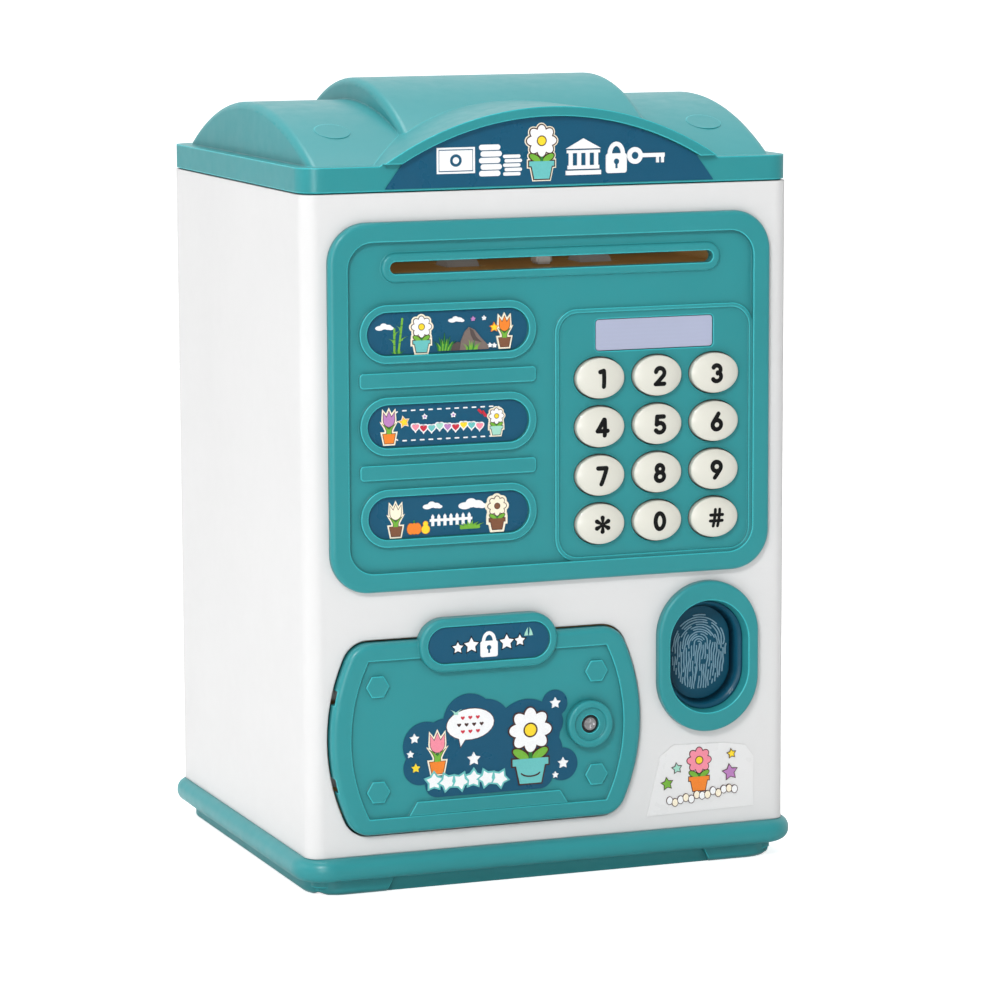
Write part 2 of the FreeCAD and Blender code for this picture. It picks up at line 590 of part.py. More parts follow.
def roof_cover():
    rim = doc.addObject("PartDesign::Body", "RoofRim")
    slab(rim, TOP, "case_high + reveal", "rim_high",
         rounded("-rim_half_wide", "rim_half_wide", "-rim_half_deep", "rim_half_deep", "rim_round"))
    step_x, step_y = "case_half_wide - reveal_inset", "face - reveal_inset"
    slab(rim, TOP, "case_high", "rim_high - 1",
         rounded(f"-({step_x})", step_x, f"-({step_y})", step_y, "3"))
    skirt_x, skirt_y = "case_half_wide - wall - fit_gap", "face - wall - fit_gap"
    slab(rim, TOP, "skirt_low", "rim_high - 1",
         rounded(f"-({skirt_x})", skirt_x, f"-({skirt_y})", skirt_y, "1.6"))
    ends = round_edges(vault("vault_half_wide", "vault_half_deep", "vault_radius", "vault_top",
                             "rim_high - 1"), "roof_fillet", arched_end)
    ridge = round_edges(vault("ridge_half_wide", "vault_half_deep - 4", "ridge_radius", "ridge_top",
                              "rim_high - 1"), "roof_fillet", arched_end)
    arch_z = "arch_top - arch_radius"
    arch = common(rod("y", "arch_radius", "-rim_half_deep", "-arch_back", "0", arch_z),
                  block(("-vault_half_wide", "vault_half_wide"), ("-rim_half_deep", "-arch_back"),
                        ("rim_high - 1", "arch_top")))
    front = "-rim_half_deep - arch_proud"
    band = cut(rod("y", "arch_radius", front, "-rim_half_deep", "0", arch_z),
               rod("y", "arch_radius - arch_band", front, "-rim_half_deep", "0", arch_z),
               block(("-100", "100"), (front, "-rim_half_deep"), ("0", "arch_foot")))
    caps = [cap_mark(f"{sign}cap_right") for sign in ("", "-")]
    inside_x, inside_y = f"{skirt_x} - lip_thick", f"{skirt_y} - lip_thick"
    rim_room = block((f"-({inside_x})", inside_x), (f"-({inside_y})", inside_y),
                     ("skirt_low", "rim_high - roof_thick"))
    vault_room = vault("vault_half_wide - roof_thick", "vault_half_deep - roof_thick - 2",
                       "vault_radius - roof_thick", "vault_top - roof_thick", "rim_high - roof_thick - 1")
    ridge_room = vault("ridge_half_wide - roof_thick", "vault_half_deep - roof_thick - 12",
                       "ridge_radius - roof_thick", "ridge_top - roof_thick", "rim_high - roof_thick - 1")
    arch_room = common(rod("y", "arch_radius - roof_thick", "roof_thick - rim_half_deep", "-arch_back - 3",
                           "0", arch_z),
                       block(("-arch_radius / 2", "arch_radius / 2"), ("-rim_half_deep", "-arch_back"),
                             ("rim_high - roof_thick - 1", "arch_top")))
    coin_slot = block(("-coin_half", "coin_half"), ("coin_back", "coin_back + coin_gap"),
                      ("rim_high", "ridge_top + 1"))
    shell = cut(fuse(rim, ends, ridge, arch, band, *caps),
                rim_room, vault_room, ridge_room, arch_room, coin_slot)
    piece(shell, "roof_cover")


def arched_end(edge):
    """The two curved edges at a vault's ends."""
    return edge.BoundBox.XLength < 1e-4 and edge.BoundBox.YLength > 20 and edge.BoundBox.ZLength > 3


def label_plate(label, start, *drawings):
    slab(new_body(label), FRONT, start, f"{start} + label_thick", *drawings)


def sign_plate():
    body = new_body("sign_plate")
    low, z0 = "sign_low", "arch_top - arch_radius"

    def draw(sketch):
        half, shoulder = number("sign_half"), number("sign_shoulder")
        bottom, level, centre = number(low), number("sign_shoulder_z"), number(z0)
        reach = math.hypot(shoulder, level - centre)
        swing = math.degrees(math.asin(shoulder / reach))
        ring = (line(sketch, (-half, bottom), (half, bottom)),
                line(sketch, (half, bottom), (shoulder, level)),
                arc(sketch, (0, centre), reach, 90 - swing, 90 + swing),
                line(sketch, (-shoulder, level), (-half, bottom)))
        for turn, side in enumerate(ring):
            sketch.addConstraint(Sketcher.Constraint("Coincident", side, 2, ring[(turn + 1) % 4], 1))
        anchor(sketch, ring[0], 1, x="-sign_half", y=low)
        anchor(sketch, ring[1], 1, x="sign_half", y=low)
        anchor(sketch, ring[2], 1, x="sign_shoulder", y="sign_shoulder_z")
        anchor(sketch, ring[3], 1, x="-sign_shoulder", y="sign_shoulder_z")
        anchor(sketch, ring[2], 3, y=z0)
    slab(body, FRONT, "rim_half_deep", "rim_half_deep + label_thick", draw)


# ---------------------------------------------------------------- front panel and keypad

def key_places():
    """Each key's name and the formulas of its centre."""
    for index, name in enumerate(KEYS):
        row, column = divmod(index, 3)
        yield name, f"key_left + {column} * key_pitch_x", f"key_top - {row} * key_pitch_z"


def badge_places():
    for index, name in enumerate(("top", "middle", "bottom")):
        yield name, f"badge_z - {index} * badge_pitch"


BOARD_POSTS = [(x, z) for x in ("post_left", "post_right") for z in ("post_low", "post_top")]
LUGS = [(x, z) for x in ("-lug_x", "lug_x") for z in ("lug_low", "lug_high")]


def front_panel():
    body = new_body("front_panel")
    slab(body, FRONT, "face", "panel_front",
         rounded("-panel_half", "panel_half", "panel_low", "panel_high", "panel_round"))
    soften(body, "panel_fillet", lies_at("y", "-panel_front"))
    edge = ("frame_wide - panel_half", "panel_half - frame_wide", "panel_low + frame_wide",
            "panel_high - frame_wide")
    slab(body, FRONT, "field_front", "panel_front", rounded(*edge, "field_round"), hollow=True)
    inset = ("frame_wide - panel_half + fit_gap", "panel_half - frame_wide - fit_gap",
             "panel_low + frame_wide + fit_gap", "panel_high - frame_wide - fit_gap")
    slab(body, FRONT, "field_back", "face", rounded(*inset, "field_round"))
    slab(body, FRONT, "field_front", "field_front + pad_proud",
         rounded("pad_left", "pad_right", "pad_low", "pad_high", "pad_round"))
    slab(body, FRONT, "field_front", "field_front + pad_proud",
         rounded("pad_left + pad_line", "pad_right - pad_line", "pad_low + pad_line",
                 "pad_high - pad_line", "pad_round - pad_line"), hollow=True)
    slot_z, slot_half_tall = "(slot_low + slot_high) / 2", "(slot_high - slot_low) / 2"
    slab(body, FRONT, "field_front", "field_front + lip_proud",
         stadium("0", slot_z, "slot_half + slot_lip", f"{slot_half_tall} + slot_lip"))
    soften(body, "frame_fillet", lies_at("y", "-field_front - lip_proud"))
    slab(body, FRONT, "field_back", "field_front + lip_proud",
         stadium("0", slot_z, "slot_half", slot_half_tall), hollow=True)
    slab(body, FRONT, "field_front", "field_front + badge_proud",
         *[stadium("badge_x", z, "badge_wide / 2", "badge_tall / 2") for _, z in badge_places()])
    slab(body, FRONT, "field_front", "field_front + badge_proud",
         *[stadium("badge_x", z, "badge_wide / 2 - badge_rim", "badge_tall / 2 - badge_rim")
           for _, z in badge_places()], hollow=True)
    bars = [f"badge_z - {step} * badge_pitch" for step in ("0.5", "1.5")]
    slab(body, FRONT, "field_front", "field_front + bar_proud",
         *[rounded("badge_x - badge_wide / 2", "badge_x + badge_wide / 2", f"{z} - bar_tall / 2",
                   f"{z} + bar_tall / 2", "1") for z in bars])
    slab(body, FRONT, "field_back", "field_front",
         rounded("window_left", "window_right", "window_low", "window_high", "1"), hollow=True)
    slab(body, FRONT, "field_back", "field_front",
         *[ellipse(x, z, "key_half_wide + key_gap", "key_half_tall + key_gap") for _, x, z in key_places()],
         hollow=True)
    slab(body, FRONT, "board_front", "field_back",
         *[circle(x, z, "board_post") for x, z in BOARD_POSTS + LUGS])
    slab(body, FRONT, "board_front", "field_back",
         *[circle(x, z, "small_shank") for x, z in BOARD_POSTS + LUGS], hollow=True)
    hook_front = "face - wall - fit_gap"
    for sign in ("", "-"):
        for low in ("pad_low + pad_line * 14", "window_low + 1"):
            for out, front in (("panel_half - frame_wide - fit_gap", "field_back"),
                               ("tab_right", hook_front)):
                left, right = ("tab_left", out) if sign == "" else (f"-({out})", "-tab_left")
                slab(body, FRONT, f"{hook_front} - 1.2", front,
                     polygon((left, low), (right, low), (right, f"{low} + tab_tall"),
                             (left, f"{low} + tab_tall")))


def keys():
    for name, x, z in key_places():
        cap = extruded_ellipse(x, z, "key_half_wide", "key_half_tall", "key_back", "key_front")
        dome = doc.addObject("Part::Ellipsoid", "KeyDome")
        bind(dome, "Radius1", "dome_tall")
        bind(dome, "Radius2", "dome_wide")
        bind(dome, "Radius3", "dome_deep")
        for axis, place in (("x", x), ("y", "dome_deep - key_front"), ("z", z)):
            bind(dome, f"Placement.Base.{axis}", place)
        stem = extruded_ellipse(x, z, "key_half_wide", "key_half_tall", "key_back", "key_front - dome_deep")
        flange = extruded_ellipse(x, z, "key_half_wide + key_flange", "key_half_tall + key_flange / 2",
                                  "key_back", "key_back + 1")
        piece(fuse(common(cap, dome), stem, flange), f"key_{name}")


def extruded_ellipse(x, z, half_wide, half_tall, back, front):
    """An elliptic prism along Y between two depths."""
    outline = doc.addObject("Part::Ellipse", "Outline")
    outline.Placement = FreeCAD.Placement(Vector(), Rotation(Vector(1, 0, 0), 90))
    bind(outline, "MajorRadius", half_wide)
    bind(outline, "MinorRadius", half_tall)
    for axis, place in (("x", x), ("y", f"-({back})"), ("z", z)):
        bind(outline, f"Placement.Base.{axis}", place)
    prism = doc.addObject("Part::Extrusion", "Prism")
    prism.Base = outline
    prism.DirMode = "Custom"
    prism.Dir = Vector(0, -1, 0)
    prism.Solid = True
    bind(prism, "LengthFwd", f"({front}) - ({back})")
    return prism


def display_window():
    body = new_body("display_window")
    slab(body, FRONT, "field_back", "field_front - fit_gap",
         rounded("window_left + fit_gap", "window_right - fit_gap", "window_low + fit_gap",
                 "window_high - fit_gap", "0.8"))
    slab(body, FRONT, "field_back - 0.9", "field_back",
         rounded("window_left - window_lip", "window_right + window_lip", "window_low - 0.6",
                 "window_high + 1", "1"))


def keypad_electronics():
    screws = []
    board = block(("board_left", "board_right"), ("-board_front", "board_thick - board_front"),
                  ("board_low", "board_high"))
    piece(cut(board, *[rod("y", "small_shank + screw_play", "-board_front", "board_thick - board_front", x, z)
                       for x, z in BOARD_POSTS]), "keypad_board")
    back = "board_thick - board_front"
    for x, z in BOARD_POSTS:
        screws.append(fuse(rod("y", "small_head", back, f"{back} + 1.2", x, z),
                           rod("y", "small_shank", "0.5 - field_back", back, x, z)))
    piece(fuse(*screws), "board_screws")
    piece(block(("post_left + board_post + 0.4", "post_right - board_post - 0.4"),
                ("-board_front - membrane_thick", "-board_front"), ("board_low + 1", "key_top + 5.4")),
          "keypad_membrane")
    piece(block(("window_left + 1", "window_right - 1"), ("-board_front - 2.4", "-board_front"),
                ("window_low + 0.6", "window_high - 0.6")), "display_module")


def badges():
    for name, z in badge_places():
        label_plate(f"badge_{name}", "field_front",
                    stadium("badge_x", z, "badge_wide / 2 - badge_rim - label_gap",
                            "badge_tall / 2 - badge_rim - label_gap"))


# ---------------------------------------------------------------- safe door

def safe_door():
    body = new_body("safe_door")
    slab(body, FRONT, "door_back", "door_front",
         barrel("door_x", "door_z", "door_half_wide", "door_half_tall", "door_arc"))
    soften(body, "door_round", corner_edges("y", "door_front - door_back"))
    soften(body, "door_fillet", lies_at("y", "-door_front"))
    inner = barrel("door_x", "door_z - 0.1", "door_half_wide - door_border_x",
                   "door_half_tall - door_border_z", "door_arc - door_border_x")
    slab(body, FRONT, "door_field", "door_front", inner, hollow=True)
    slab(body, FRONT, "door_back", "door_skin_back",
         barrel("door_x + 3", "door_z", "door_half_wide - door_border_x - 5",
                "door_half_tall - door_border_z", "door_arc"), hollow=True)
    slab(body, FRONT, "tag_back", "tag_front", stadium("tag_x", "tag_z", "tag_wide / 2", "tag_tall / 2"))
    soften(body, "frame_fillet", lies_at("y", "-tag_front"))
    slab(body, FRONT, "tag_floor", "tag_front",
         stadium("tag_x", "tag_z", "tag_wide / 2 - tag_rim", "tag_tall / 2 - tag_rim"), hollow=True)
    for x in ("hex_left", "hex_right"):
        for z in ("hex_low", "hex_high"):
            corners = [(f"{x} + hex_radius * cos({60 * turn})", f"{z} + hex_radius * sin({60 * turn})")
                       for turn in range(6)]
            slab(body, FRONT, "door_field", "hex_front", polygon(*corners))
    slab(body, FRONT, "door_field", "hex_front",
         polygon(("door_x - wedge_low_half", "wedge_low"), ("door_x + wedge_low_half", "wedge_low"),
                 ("door_x + wedge_high_half", "wedge_high"), ("door_x - wedge_high_half", "wedge_high")))
    slab(body, FRONT, "door_back", "door_field", circle("knob_x", "door_z", "small_shank + screw_play"),
         hollow=True)
    for sign in ("+", "-"):
        low = f"door_z {sign} hinge_reach - eye_half - 0.3"
        high = f"door_z {sign} hinge_reach + eye_half + 0.3"
        slab(body, FRONT, "door_back", "eye_pocket_front",
             polygon(("-case_half_wide", low), ("hinge_x + eye_radius + 0.5", low),
                     ("hinge_x + eye_radius + 0.5", high), ("-case_half_wide", high)), hollow=True)
        slab(body, TOP, low, high, circle("hinge_x", "-hinge_depth", "eye_radius + eye_play"), hollow=True)
        slab(body, TOP, f"door_z {sign} hinge_reach - pin_half", f"door_z {sign} hinge_reach + pin_half",
             circle("hinge_x", "-hinge_depth", "pin_radius"), hollow=True)


def knob_rims(edge):
    """The knob's outer and inner front rims."""
    box = edge.BoundBox
    on_front = box.YLength < 1e-4 and abs(box.YMin + number("knob_front")) < 1e-4
    return on_front and box.XLength > 2 * number("knob_hole") + 1


def door_fittings():
    pins = [rod("z", "pin_radius", f"door_z {sign} hinge_reach - pin_half",
                f"door_z {sign} hinge_reach + pin_half", "hinge_x", "-hinge_depth") for sign in ("+", "-")]
    piece(fuse(*pins), "door_hinge_pins")
    eyes = []
    for sign in ("+", "-"):
        low, high = (f"door_z {sign} hinge_reach - eye_half", f"door_z {sign} hinge_reach + eye_half")
        eyes.append(block(("spine_left", "hinge_x + 0.8"), ("-strap_front", "-strap_back"), (low, high)))
        eyes.append(block(("hinge_x - 0.8", "hinge_x + 0.8"), ("-hinge_depth", "-strap_back"), (low, high)))
        eyes.append(rod("z", "eye_radius", low, high, "hinge_x", "-hinge_depth"))
    spine = block(("spine_left", "spine_right"), ("-spine_front", "-strap_back + 3"),
                  ("door_z - hinge_reach - eye_half", "door_z + hinge_reach + eye_half"))
    piece(cut(fuse(spine, *eyes), rod("z", "pin_radius + pin_play", "0", "2 * door_z", "hinge_x",
                                      "-hinge_depth")), "hinge_bracket")
    knob = cut(rod("y", "knob_radius", "-knob_front", "-door_field", "knob_x", "door_z"),
               rod("y", "knob_ring", "-knob_front", "0.7 - knob_front", "knob_x", "door_z"),
               rod("y", "knob_hole", "-knob_front", "-knob_seat", "knob_x", "door_z"),
               rod("y", "small_shank + screw_play", "-knob_front", "-door_field", "knob_x", "door_z"))
    piece(round_edges(knob, "knob_fillet", knob_rims), "door_knob")
    seat = "-knob_seat"
    recess = block(("knob_x - 0.3", "knob_x + 0.3"), (f"{seat} - 1.1", f"{seat} - 0.6"),
                   ("door_z - 1.2", "door_z + 1.2"))
    cross = block(("knob_x - 1.2", "knob_x + 1.2"), (f"{seat} - 1.1", f"{seat} - 0.6"),
                  ("door_z - 0.3", "door_z + 0.3"))
    body = fuse(rod("y", "knob_hole - 0.75", f"{seat} - 1.1", seat, "knob_x", "door_z"),
                rod("y", "small_shank", seat, "-hook_base_back", "knob_x", "door_z"))
    piece(cut(body, recess, cross), "knob_screw")
    base = block(("knob_x - 5", "hook_right"), ("-door_back", "-hook_base_back"),
                 ("door_z - 6", "door_z + 6"))
    arm = block(("hook_left", "hook_right"), ("-hook_base_back", "-hook_back"),
                ("door_z - 3.5", "door_z + 3.5"))
    keep = block(("hook_left", "hook_right"),
                 ("-bolt_depth - bolt_half - 0.25", "-bolt_depth + bolt_half + 0.25"),
                 ("door_z - bolt_half - 0.35", "door_z + bolt_half + 0.35"))
    piece(cut(fuse(base, arm), keep,
              rod("y", "small_shank", "-door_back", "-hook_base_back", "knob_x", "door_z")), "door_hook")
    label_plate("tag_plate", "tag_floor",
                stadium("tag_x", "tag_z", "tag_wide / 2 - tag_rim - label_gap",
                        "tag_tall / 2 - tag_rim - label_gap"))
    depth = ("-door_field - label_thick", "-door_field")
    blobs = [rod("y", f"{radius}", *depth, f"{x}", f"door_z + {z}")
             for x, z, radius in ((-34.5, -2.5, 6), (-36, -8, 4.4), (-29, -3, 7), (-23, 3, 6.8),
                                  (-18.5, 1.5, 6.6), (-7.5, -1.5, 8.8), (0, 5.7, 3.4), (-2.4, 1, 4.6),
                                  (1.9, -10, 4.2), (-3, -6, 5), (-31.5, -12.6, 3.2), (-4, -12.4, 3.4))]
    band = block(("-31.5", "-4"), depth, ("door_z - 15.8", "door_z - 2"))
    piece(fuse(band, *blobs), "door_sticker")


# ---------------------------------------------------------------- lock, bin and reader

def lock_parts():
    z = ("door_z - bolt_half", "door_z + bolt_half")
    y = ("-bolt_depth - bolt_half", "-bolt_depth + bolt_half")
    piece(block(("bolt_tip", "bolt_tail"), y, z), "latch_bolt")
    body = block(("bin_right", "solenoid_right"),
                 ("-bolt_depth - solenoid_half", "-bolt_depth + solenoid_half"),
                 ("door_z - solenoid_half", "door_z + solenoid_half"))
    bore = block(("bin_right", "bolt_tail + 2"),
                 ("-bolt_depth - bolt_half - bolt_play", "-bolt_depth + bolt_half + bolt_play"),
                 ("door_z - bolt_half - bolt_play", "door_z + bolt_half + bolt_play"))
    piece(cut(body, bore), "latch_solenoid")


def money_bin():
    body = new_body("money_bin")
    inner = "bin_right - bin_thick"
    slab(body, FRONT, "-bin_depth", "bin_depth",
         polygon(("bin_left", "bin_low"), ("bin_right", "bin_low"), ("bin_right", "bin_high"),
                 (inner, "bin_high"), (inner, "bin_low + bin_thick"), ("bin_left", "bin_low + bin_thick")))
    slab(body, FRONT, "-bin_depth", "chute_depth",
         polygon((inner, "bin_high - 1"), ("bin_right", "bin_high - 1"),
                 ("chute_right", "bin_high + chute_rise"), ("chute_right", "bin_high + chute_rise + 2"),
                 (inner, "bin_high + 1")))
    hole = "bolt_half + bolt_play"
    slab(body, SIDE, inner, "bin_right",
         polygon((f"-bolt_depth - ({hole})", f"door_z - ({hole})"),
                 (f"-bolt_depth + {hole}", f"door_z - ({hole})"),
                 (f"-bolt_depth + {hole}", f"door_z + {hole}"),
                 (f"-bolt_depth - ({hole})", f"door_z + {hole}")),
         hollow=True)


def reader_ring(half, straight="reader_straight"):
    return stadium("reader_x", "reader_z", f"{half} + {straight}", half, upright=True)


def fingerprint_reader():
    body = new_body("fingerprint_bezel")
    slab(body, FRONT, "face", "reader_front", reader_ring("reader_half"))
    soften(body, "frame_fillet", lies_at("y", "-reader_front"))
    slab(body, FRONT, "reader_back", "face", reader_ring("reader_body"))
    mouth = slab(body, FRONT, "mouth_floor", "reader_front", reader_ring("mouth_half", "mouth_straight"),
                 hollow=True)
    bind(mouth, "TaperAngle", "-funnel_angle")
    slab(body, FRONT, "reader_back", "mouth_floor", reader_ring("touch_half + fit_gap", "mouth_straight"),
         hollow=True)
    pad = new_body("fingerprint_pad")
    slab(pad, FRONT, "touch_back", "touch_front", reader_ring("touch_half", "mouth_straight"))
    slab(pad, FRONT, "touch_back", "touch_flange_front", reader_ring("touch_flange", "mouth_straight"))
    cup = new_body("reader_housing")
    slab(cup, FRONT, "cup_back", "reader_back", reader_ring("reader_body"))
    slab(cup, FRONT, "cup_back + 1.4", "reader_back", reader_ring("touch_flange + 0.3", "mouth_straight + 1"),
         hollow=True)
    piece(block(("reader_x - 4", "reader_x + 4"), ("-touch_back + 1.2", "-cup_back - 1.4"),
                ("reader_z - 4", "reader_z + 4")), "touch_switch")


def front_label():
    label_plate("front_label", "face",
                polygon(("25.8", "13.6"), ("55.5", "14.2"), ("55.5", "27"), ("53.1", "30.2"), ("47", "31.2"),
                        ("33.2", "31.6"), ("29.5", "29")))


# ---------------------------------------------------------------- note feed

COMPOUND = ("gear_module * (small_teeth + roller_teeth) / 2 * cos(idle_angle) - feed_depth",
            "feed_z + gear_module * (small_teeth + roller_teeth) / 2 * sin(idle_angle)")
MOTOR = (f"{COMPOUND[0]} + gear_module * (small_teeth + large_teeth) / 2 * cos(motor_angle)",
         f"{COMPOUND[1]} + gear_module * (small_teeth + large_teeth) / 2 * sin(motor_angle)")


def gear_outline(teeth, phase):
    """A gear's face about the origin in the XY plane, with a tooth centred at `phase` degrees."""
    pitch = number("gear_module") * teeth / 2
    pressure = math.radians(number("pressure_angle"))
    base = pitch * math.cos(pressure)
    root = pitch - number("gear_module * dedendum")
    tip = pitch + number("gear_module * addendum")
    half = math.pi / 2 / teeth - number("gear_backlash") / pitch / 2

    def flank_angle(radius):
        turn = math.acos(min(1, base / radius))
        return half + (math.tan(pressure) - pressure) - (math.tan(turn) - turn)

    def at(radius, angle):
        return Vector(radius * math.cos(angle), radius * math.sin(angle), 0)
    start = max(base, root)
    radii = [start + (tip - start) * step / 4 for step in range(5)]
    edges = []
    for tooth in range(teeth):
        middle = math.radians(phase) + 2 * math.pi * tooth / teeth
        rising = [at(radius, middle - flank_angle(radius)) for radius in radii]
        falling = [at(radius, middle + flank_angle(radius)) for radius in reversed(radii)]
        foot, next_foot = (at(root, middle - flank_angle(start)), at(root, middle + flank_angle(start)))
        gap = at(root, middle + math.pi / teeth)
        following = at(root, middle + 2 * math.pi / teeth - flank_angle(start))
        if base > root:
            edges.append(Part.makeLine(foot, rising[0]))
        for side in (rising, falling):
            curve = Part.BSplineCurve()
            curve.interpolate(side)
            edges.append(curve.toShape())
            if side is rising:
                edges.append(Part.Arc(rising[-1], at(tip, middle), falling[0]).toShape())
        if base > root:
            edges.append(Part.makeLine(falling[-1], next_foot))
        edges.append(Part.Arc(next_foot, gap, following).toShape())
    return Part.Face(Part.Wire(edges))


def gear_solid(teeth, phase, bore, start, width):
    """A gear along +X from `start`; `phase` is measured from +Y towards +Z."""
    blank = gear_outline(teeth, phase).extrude(Vector(0, 0, width))
    solid = blank.cut(Part.makeCylinder(bore, width))
    solid.rotate(Vector(), Vector(1, 1, 1), 120)
    solid.translate(Vector(start, 0, 0))
    return solid


def gear_feature(shape, label, place):
    item = doc.addObject("Part::Feature", "Gear")
    item.Shape = shape
    seat = FreeCAD.Placement(Vector(0, number(place[0]), number(place[1])), Rotation())
    item.Placement = seat.multiply(shape.Placement)
    return piece(item, label)


def gears():
    small, large, roller = (int(number(name)) for name in ("small_teeth", "large_teeth", "roller_teeth"))
    width, first = number("gear_wide"), number("gear_x")
    second, play = first + number("gear_step"), number("shaft_play")
    idle, motor = number("idle_angle"), number("motor_angle")
    gear_feature(gear_solid(roller, idle + 180 / roller, number("feed_shaft"), first, width),
                 "roller_gear", ("-feed_depth", "feed_z"))
    bore = number("stud_radius") + play
    inner = gear_solid(small, idle + 180, bore, first, second - first)
    outer = gear_solid(large, motor + 180 / large, bore, second, width)
    gear_feature(inner.fuse(outer).removeSplitter(), "compound_gear", COMPOUND)
    shaft = number("motor_shaft")
    pinion = gear_solid(small, motor + 180, shaft / 2, second - 0.2, width + 0.4)
    rod_start = number("motor_left + 4")
    spindle = Part.makeCylinder(shaft, second + width + 0.2 - rod_start, Vector(rod_start, 0, 0), Vector(1, 0, 0))
    gear_feature(pinion.fuse(spindle).removeSplitter(), "motor_pinion", MOTOR)


def feed_frame():
    y, z = ("-frame_front", "-frame_back"), ("frame_low", "frame_high")
    solids = [block(("-plate_out", "-plate_in"), y, z), block(("plate_in", "plate_out"), y, z),
              block(("-plate_in", "plate_in"), y, ("guide_low", "guide_high")),
              block(("-plate_in", "plate_in"), y, ("cover_low", "cover_high")),
              block(("plate_in", "plate_out"), ("-44.5", "-frame_back"), (f"{MOTOR[1]} - 9", "frame_low"))]
    holes = []
    back = "board_thick - board_front"
    for x, lug_z in LUGS:
        inner, outer = ("plate_in", "lug_out") if not x.startswith("-") else ("-lug_out", "-plate_in")
        solids.append(block((inner, outer), ("-board_front", back),
                            (f"{lug_z} - lug_half", f"{lug_z} + lug_half")))
        holes.append(rod("y", "small_shank + screw_play", "-board_front", back, x, lug_z))
    for left, right in (("wheel_in", "wheel_out"), ("-wheel_out", "-wheel_in")):
        window = (f"{left} - 1", f"{right} + 1")
        holes.append(block(window, ("-feed_depth - 6.5", "6.5 - feed_depth"), ("guide_low", "guide_high")))
        holes.append(block(window, ("-feed_depth - 4.5", "4.5 - feed_depth"), ("cover_low", "cover_high")))
    holes.append(rod("x", "feed_shaft + shaft_play", "-plate_out", "plate_out", "-feed_depth", "feed_z"))
    holes.append(rod("x", "idler_shaft + shaft_play", "-plate_out", "plate_out", "-feed_depth", "idler_z"))
    holes.append(rod("x", "stud_radius", "plate_in", "plate_out", *COMPOUND))
    holes.append(rod("x", "motor_boss", "plate_in", "plate_out", *MOTOR))
    piece(cut(fuse(*solids), *holes), "feed_frame")
    screws = []
    for x, lug_z in LUGS:
        screws.append(fuse(rod("y", "small_head", back, f"{back} + 1.2", x, lug_z),
                           rod("y", "small_shank", "0.5 - field_back", back, x, lug_z)))
    piece(fuse(*screws), "feed_frame_screws")


def feed_rollers():
    end = "gear_x + gear_wide + 0.4"
    piece(rod("x", "feed_shaft", "-plate_out - 1", end, "-feed_depth", "feed_z"), "feed_shaft")
    piece(rod("x", "idler_shaft", "-plate_out - 1", "plate_out + 0.4", "-feed_depth", "idler_z"), "idler_shaft")
    for label, outer, inner, height in (("feed_wheels", "feed_wheel", "feed_shaft", "feed_z"),
                                        ("idler_wheels", "idler_wheel", "idler_shaft", "idler_z")):
        tyres = []
        for left, right in (("wheel_in", "wheel_out"), ("-wheel_out", "-wheel_in")):
            tyres.append(cut(rod("x", outer, left, right, "-feed_depth", height),
                             rod("x", inner, left, right, "-feed_depth", height)))
        piece(fuse(*tyres), label)


def feed_drive():
    y, z = MOTOR
    can = common(rod("x", "motor_radius", "motor_left", "motor_right", y, z),
                 block(("motor_left", "motor_right"), (f"{y} - motor_radius", f"{y} + motor_radius"),
                       (f"{z} - motor_flat", f"{z} + motor_flat")))
    boss = rod("x", "motor_boss", "motor_right", "plate_out - 0.4", y, z)
    piece(cut(fuse(can, boss), rod("x", "motor_shaft + shaft_play", "motor_left + 3.5", "plate_out", y, z)),
          "feed_motor")
    end = "gear_x + gear_step + gear_wide + 0.6"
    piece(fuse(rod("x", "stud_radius", "plate_in", end, *COMPOUND),
               rod("x", "stud_radius + 1", end, f"{end} + 0.8", *COMPOUND)), "gear_stud")


def main_board():
    chips = [block(("main_x - 2.4", "main_x"), (low, high), (bottom, top)) for low, high, bottom, top in
             (("-10", "4", "40", "54"), ("10", "18", "30", "62"), ("-24", "-16", "28", "40"))]
    board = block(("main_x", "main_x + 1.6"), ("-main_half", "main_half"), ("main_low", "main_high"))
    piece(fuse(board, *chips), "main_board")


def failed_objects():
    bad = [item.Name for item in doc.Objects if {"Invalid", "Error"} & set(item.State)]
    bad += [item.Label for item in parts if item.Shape.isNull() or not item.Shape.isValid()]
    for item in doc.Objects:
        if item.TypeId == "PartDesign::Pocket" and item.BaseFeature.Shape.Volume - item.Shape.Volume < 1e-3:
            bad.append(f"{item.Name} cuts nothing")
    return bad


def main():
    fill_sheet()
    for build in (main_case, base_tray, base_screws, battery_parts, speaker, roof_cover, sign_plate,
                  front_panel, keys, display_window, keypad_electronics, badges, safe_door, door_fittings,
                  lock_parts, money_bin, fingerprint_reader, front_label, gears, feed_frame, feed_rollers,
                  feed_drive, main_board):
        build()
    doc.recompute()
    bad = failed_objects()
    if bad:
        raise SystemExit(f"failed: {bad}")
    os.makedirs("parts", exist_ok=True)
    for item in parts:
        item.Shape.exportStep(f"parts/{item.Label}.step")
    print(len(parts), "parts written")


main()
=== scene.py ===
"""Looks of the toy cash-machine savings bank: finishes, printed labels, key numerals, small
electronics, studio and camera.  Scene lengths are metres; label drawings are in millimetres.
"""

import json
import math
import random

import bmesh
import bpy
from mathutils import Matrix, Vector
from mathutils.bvhtree import BVHTree

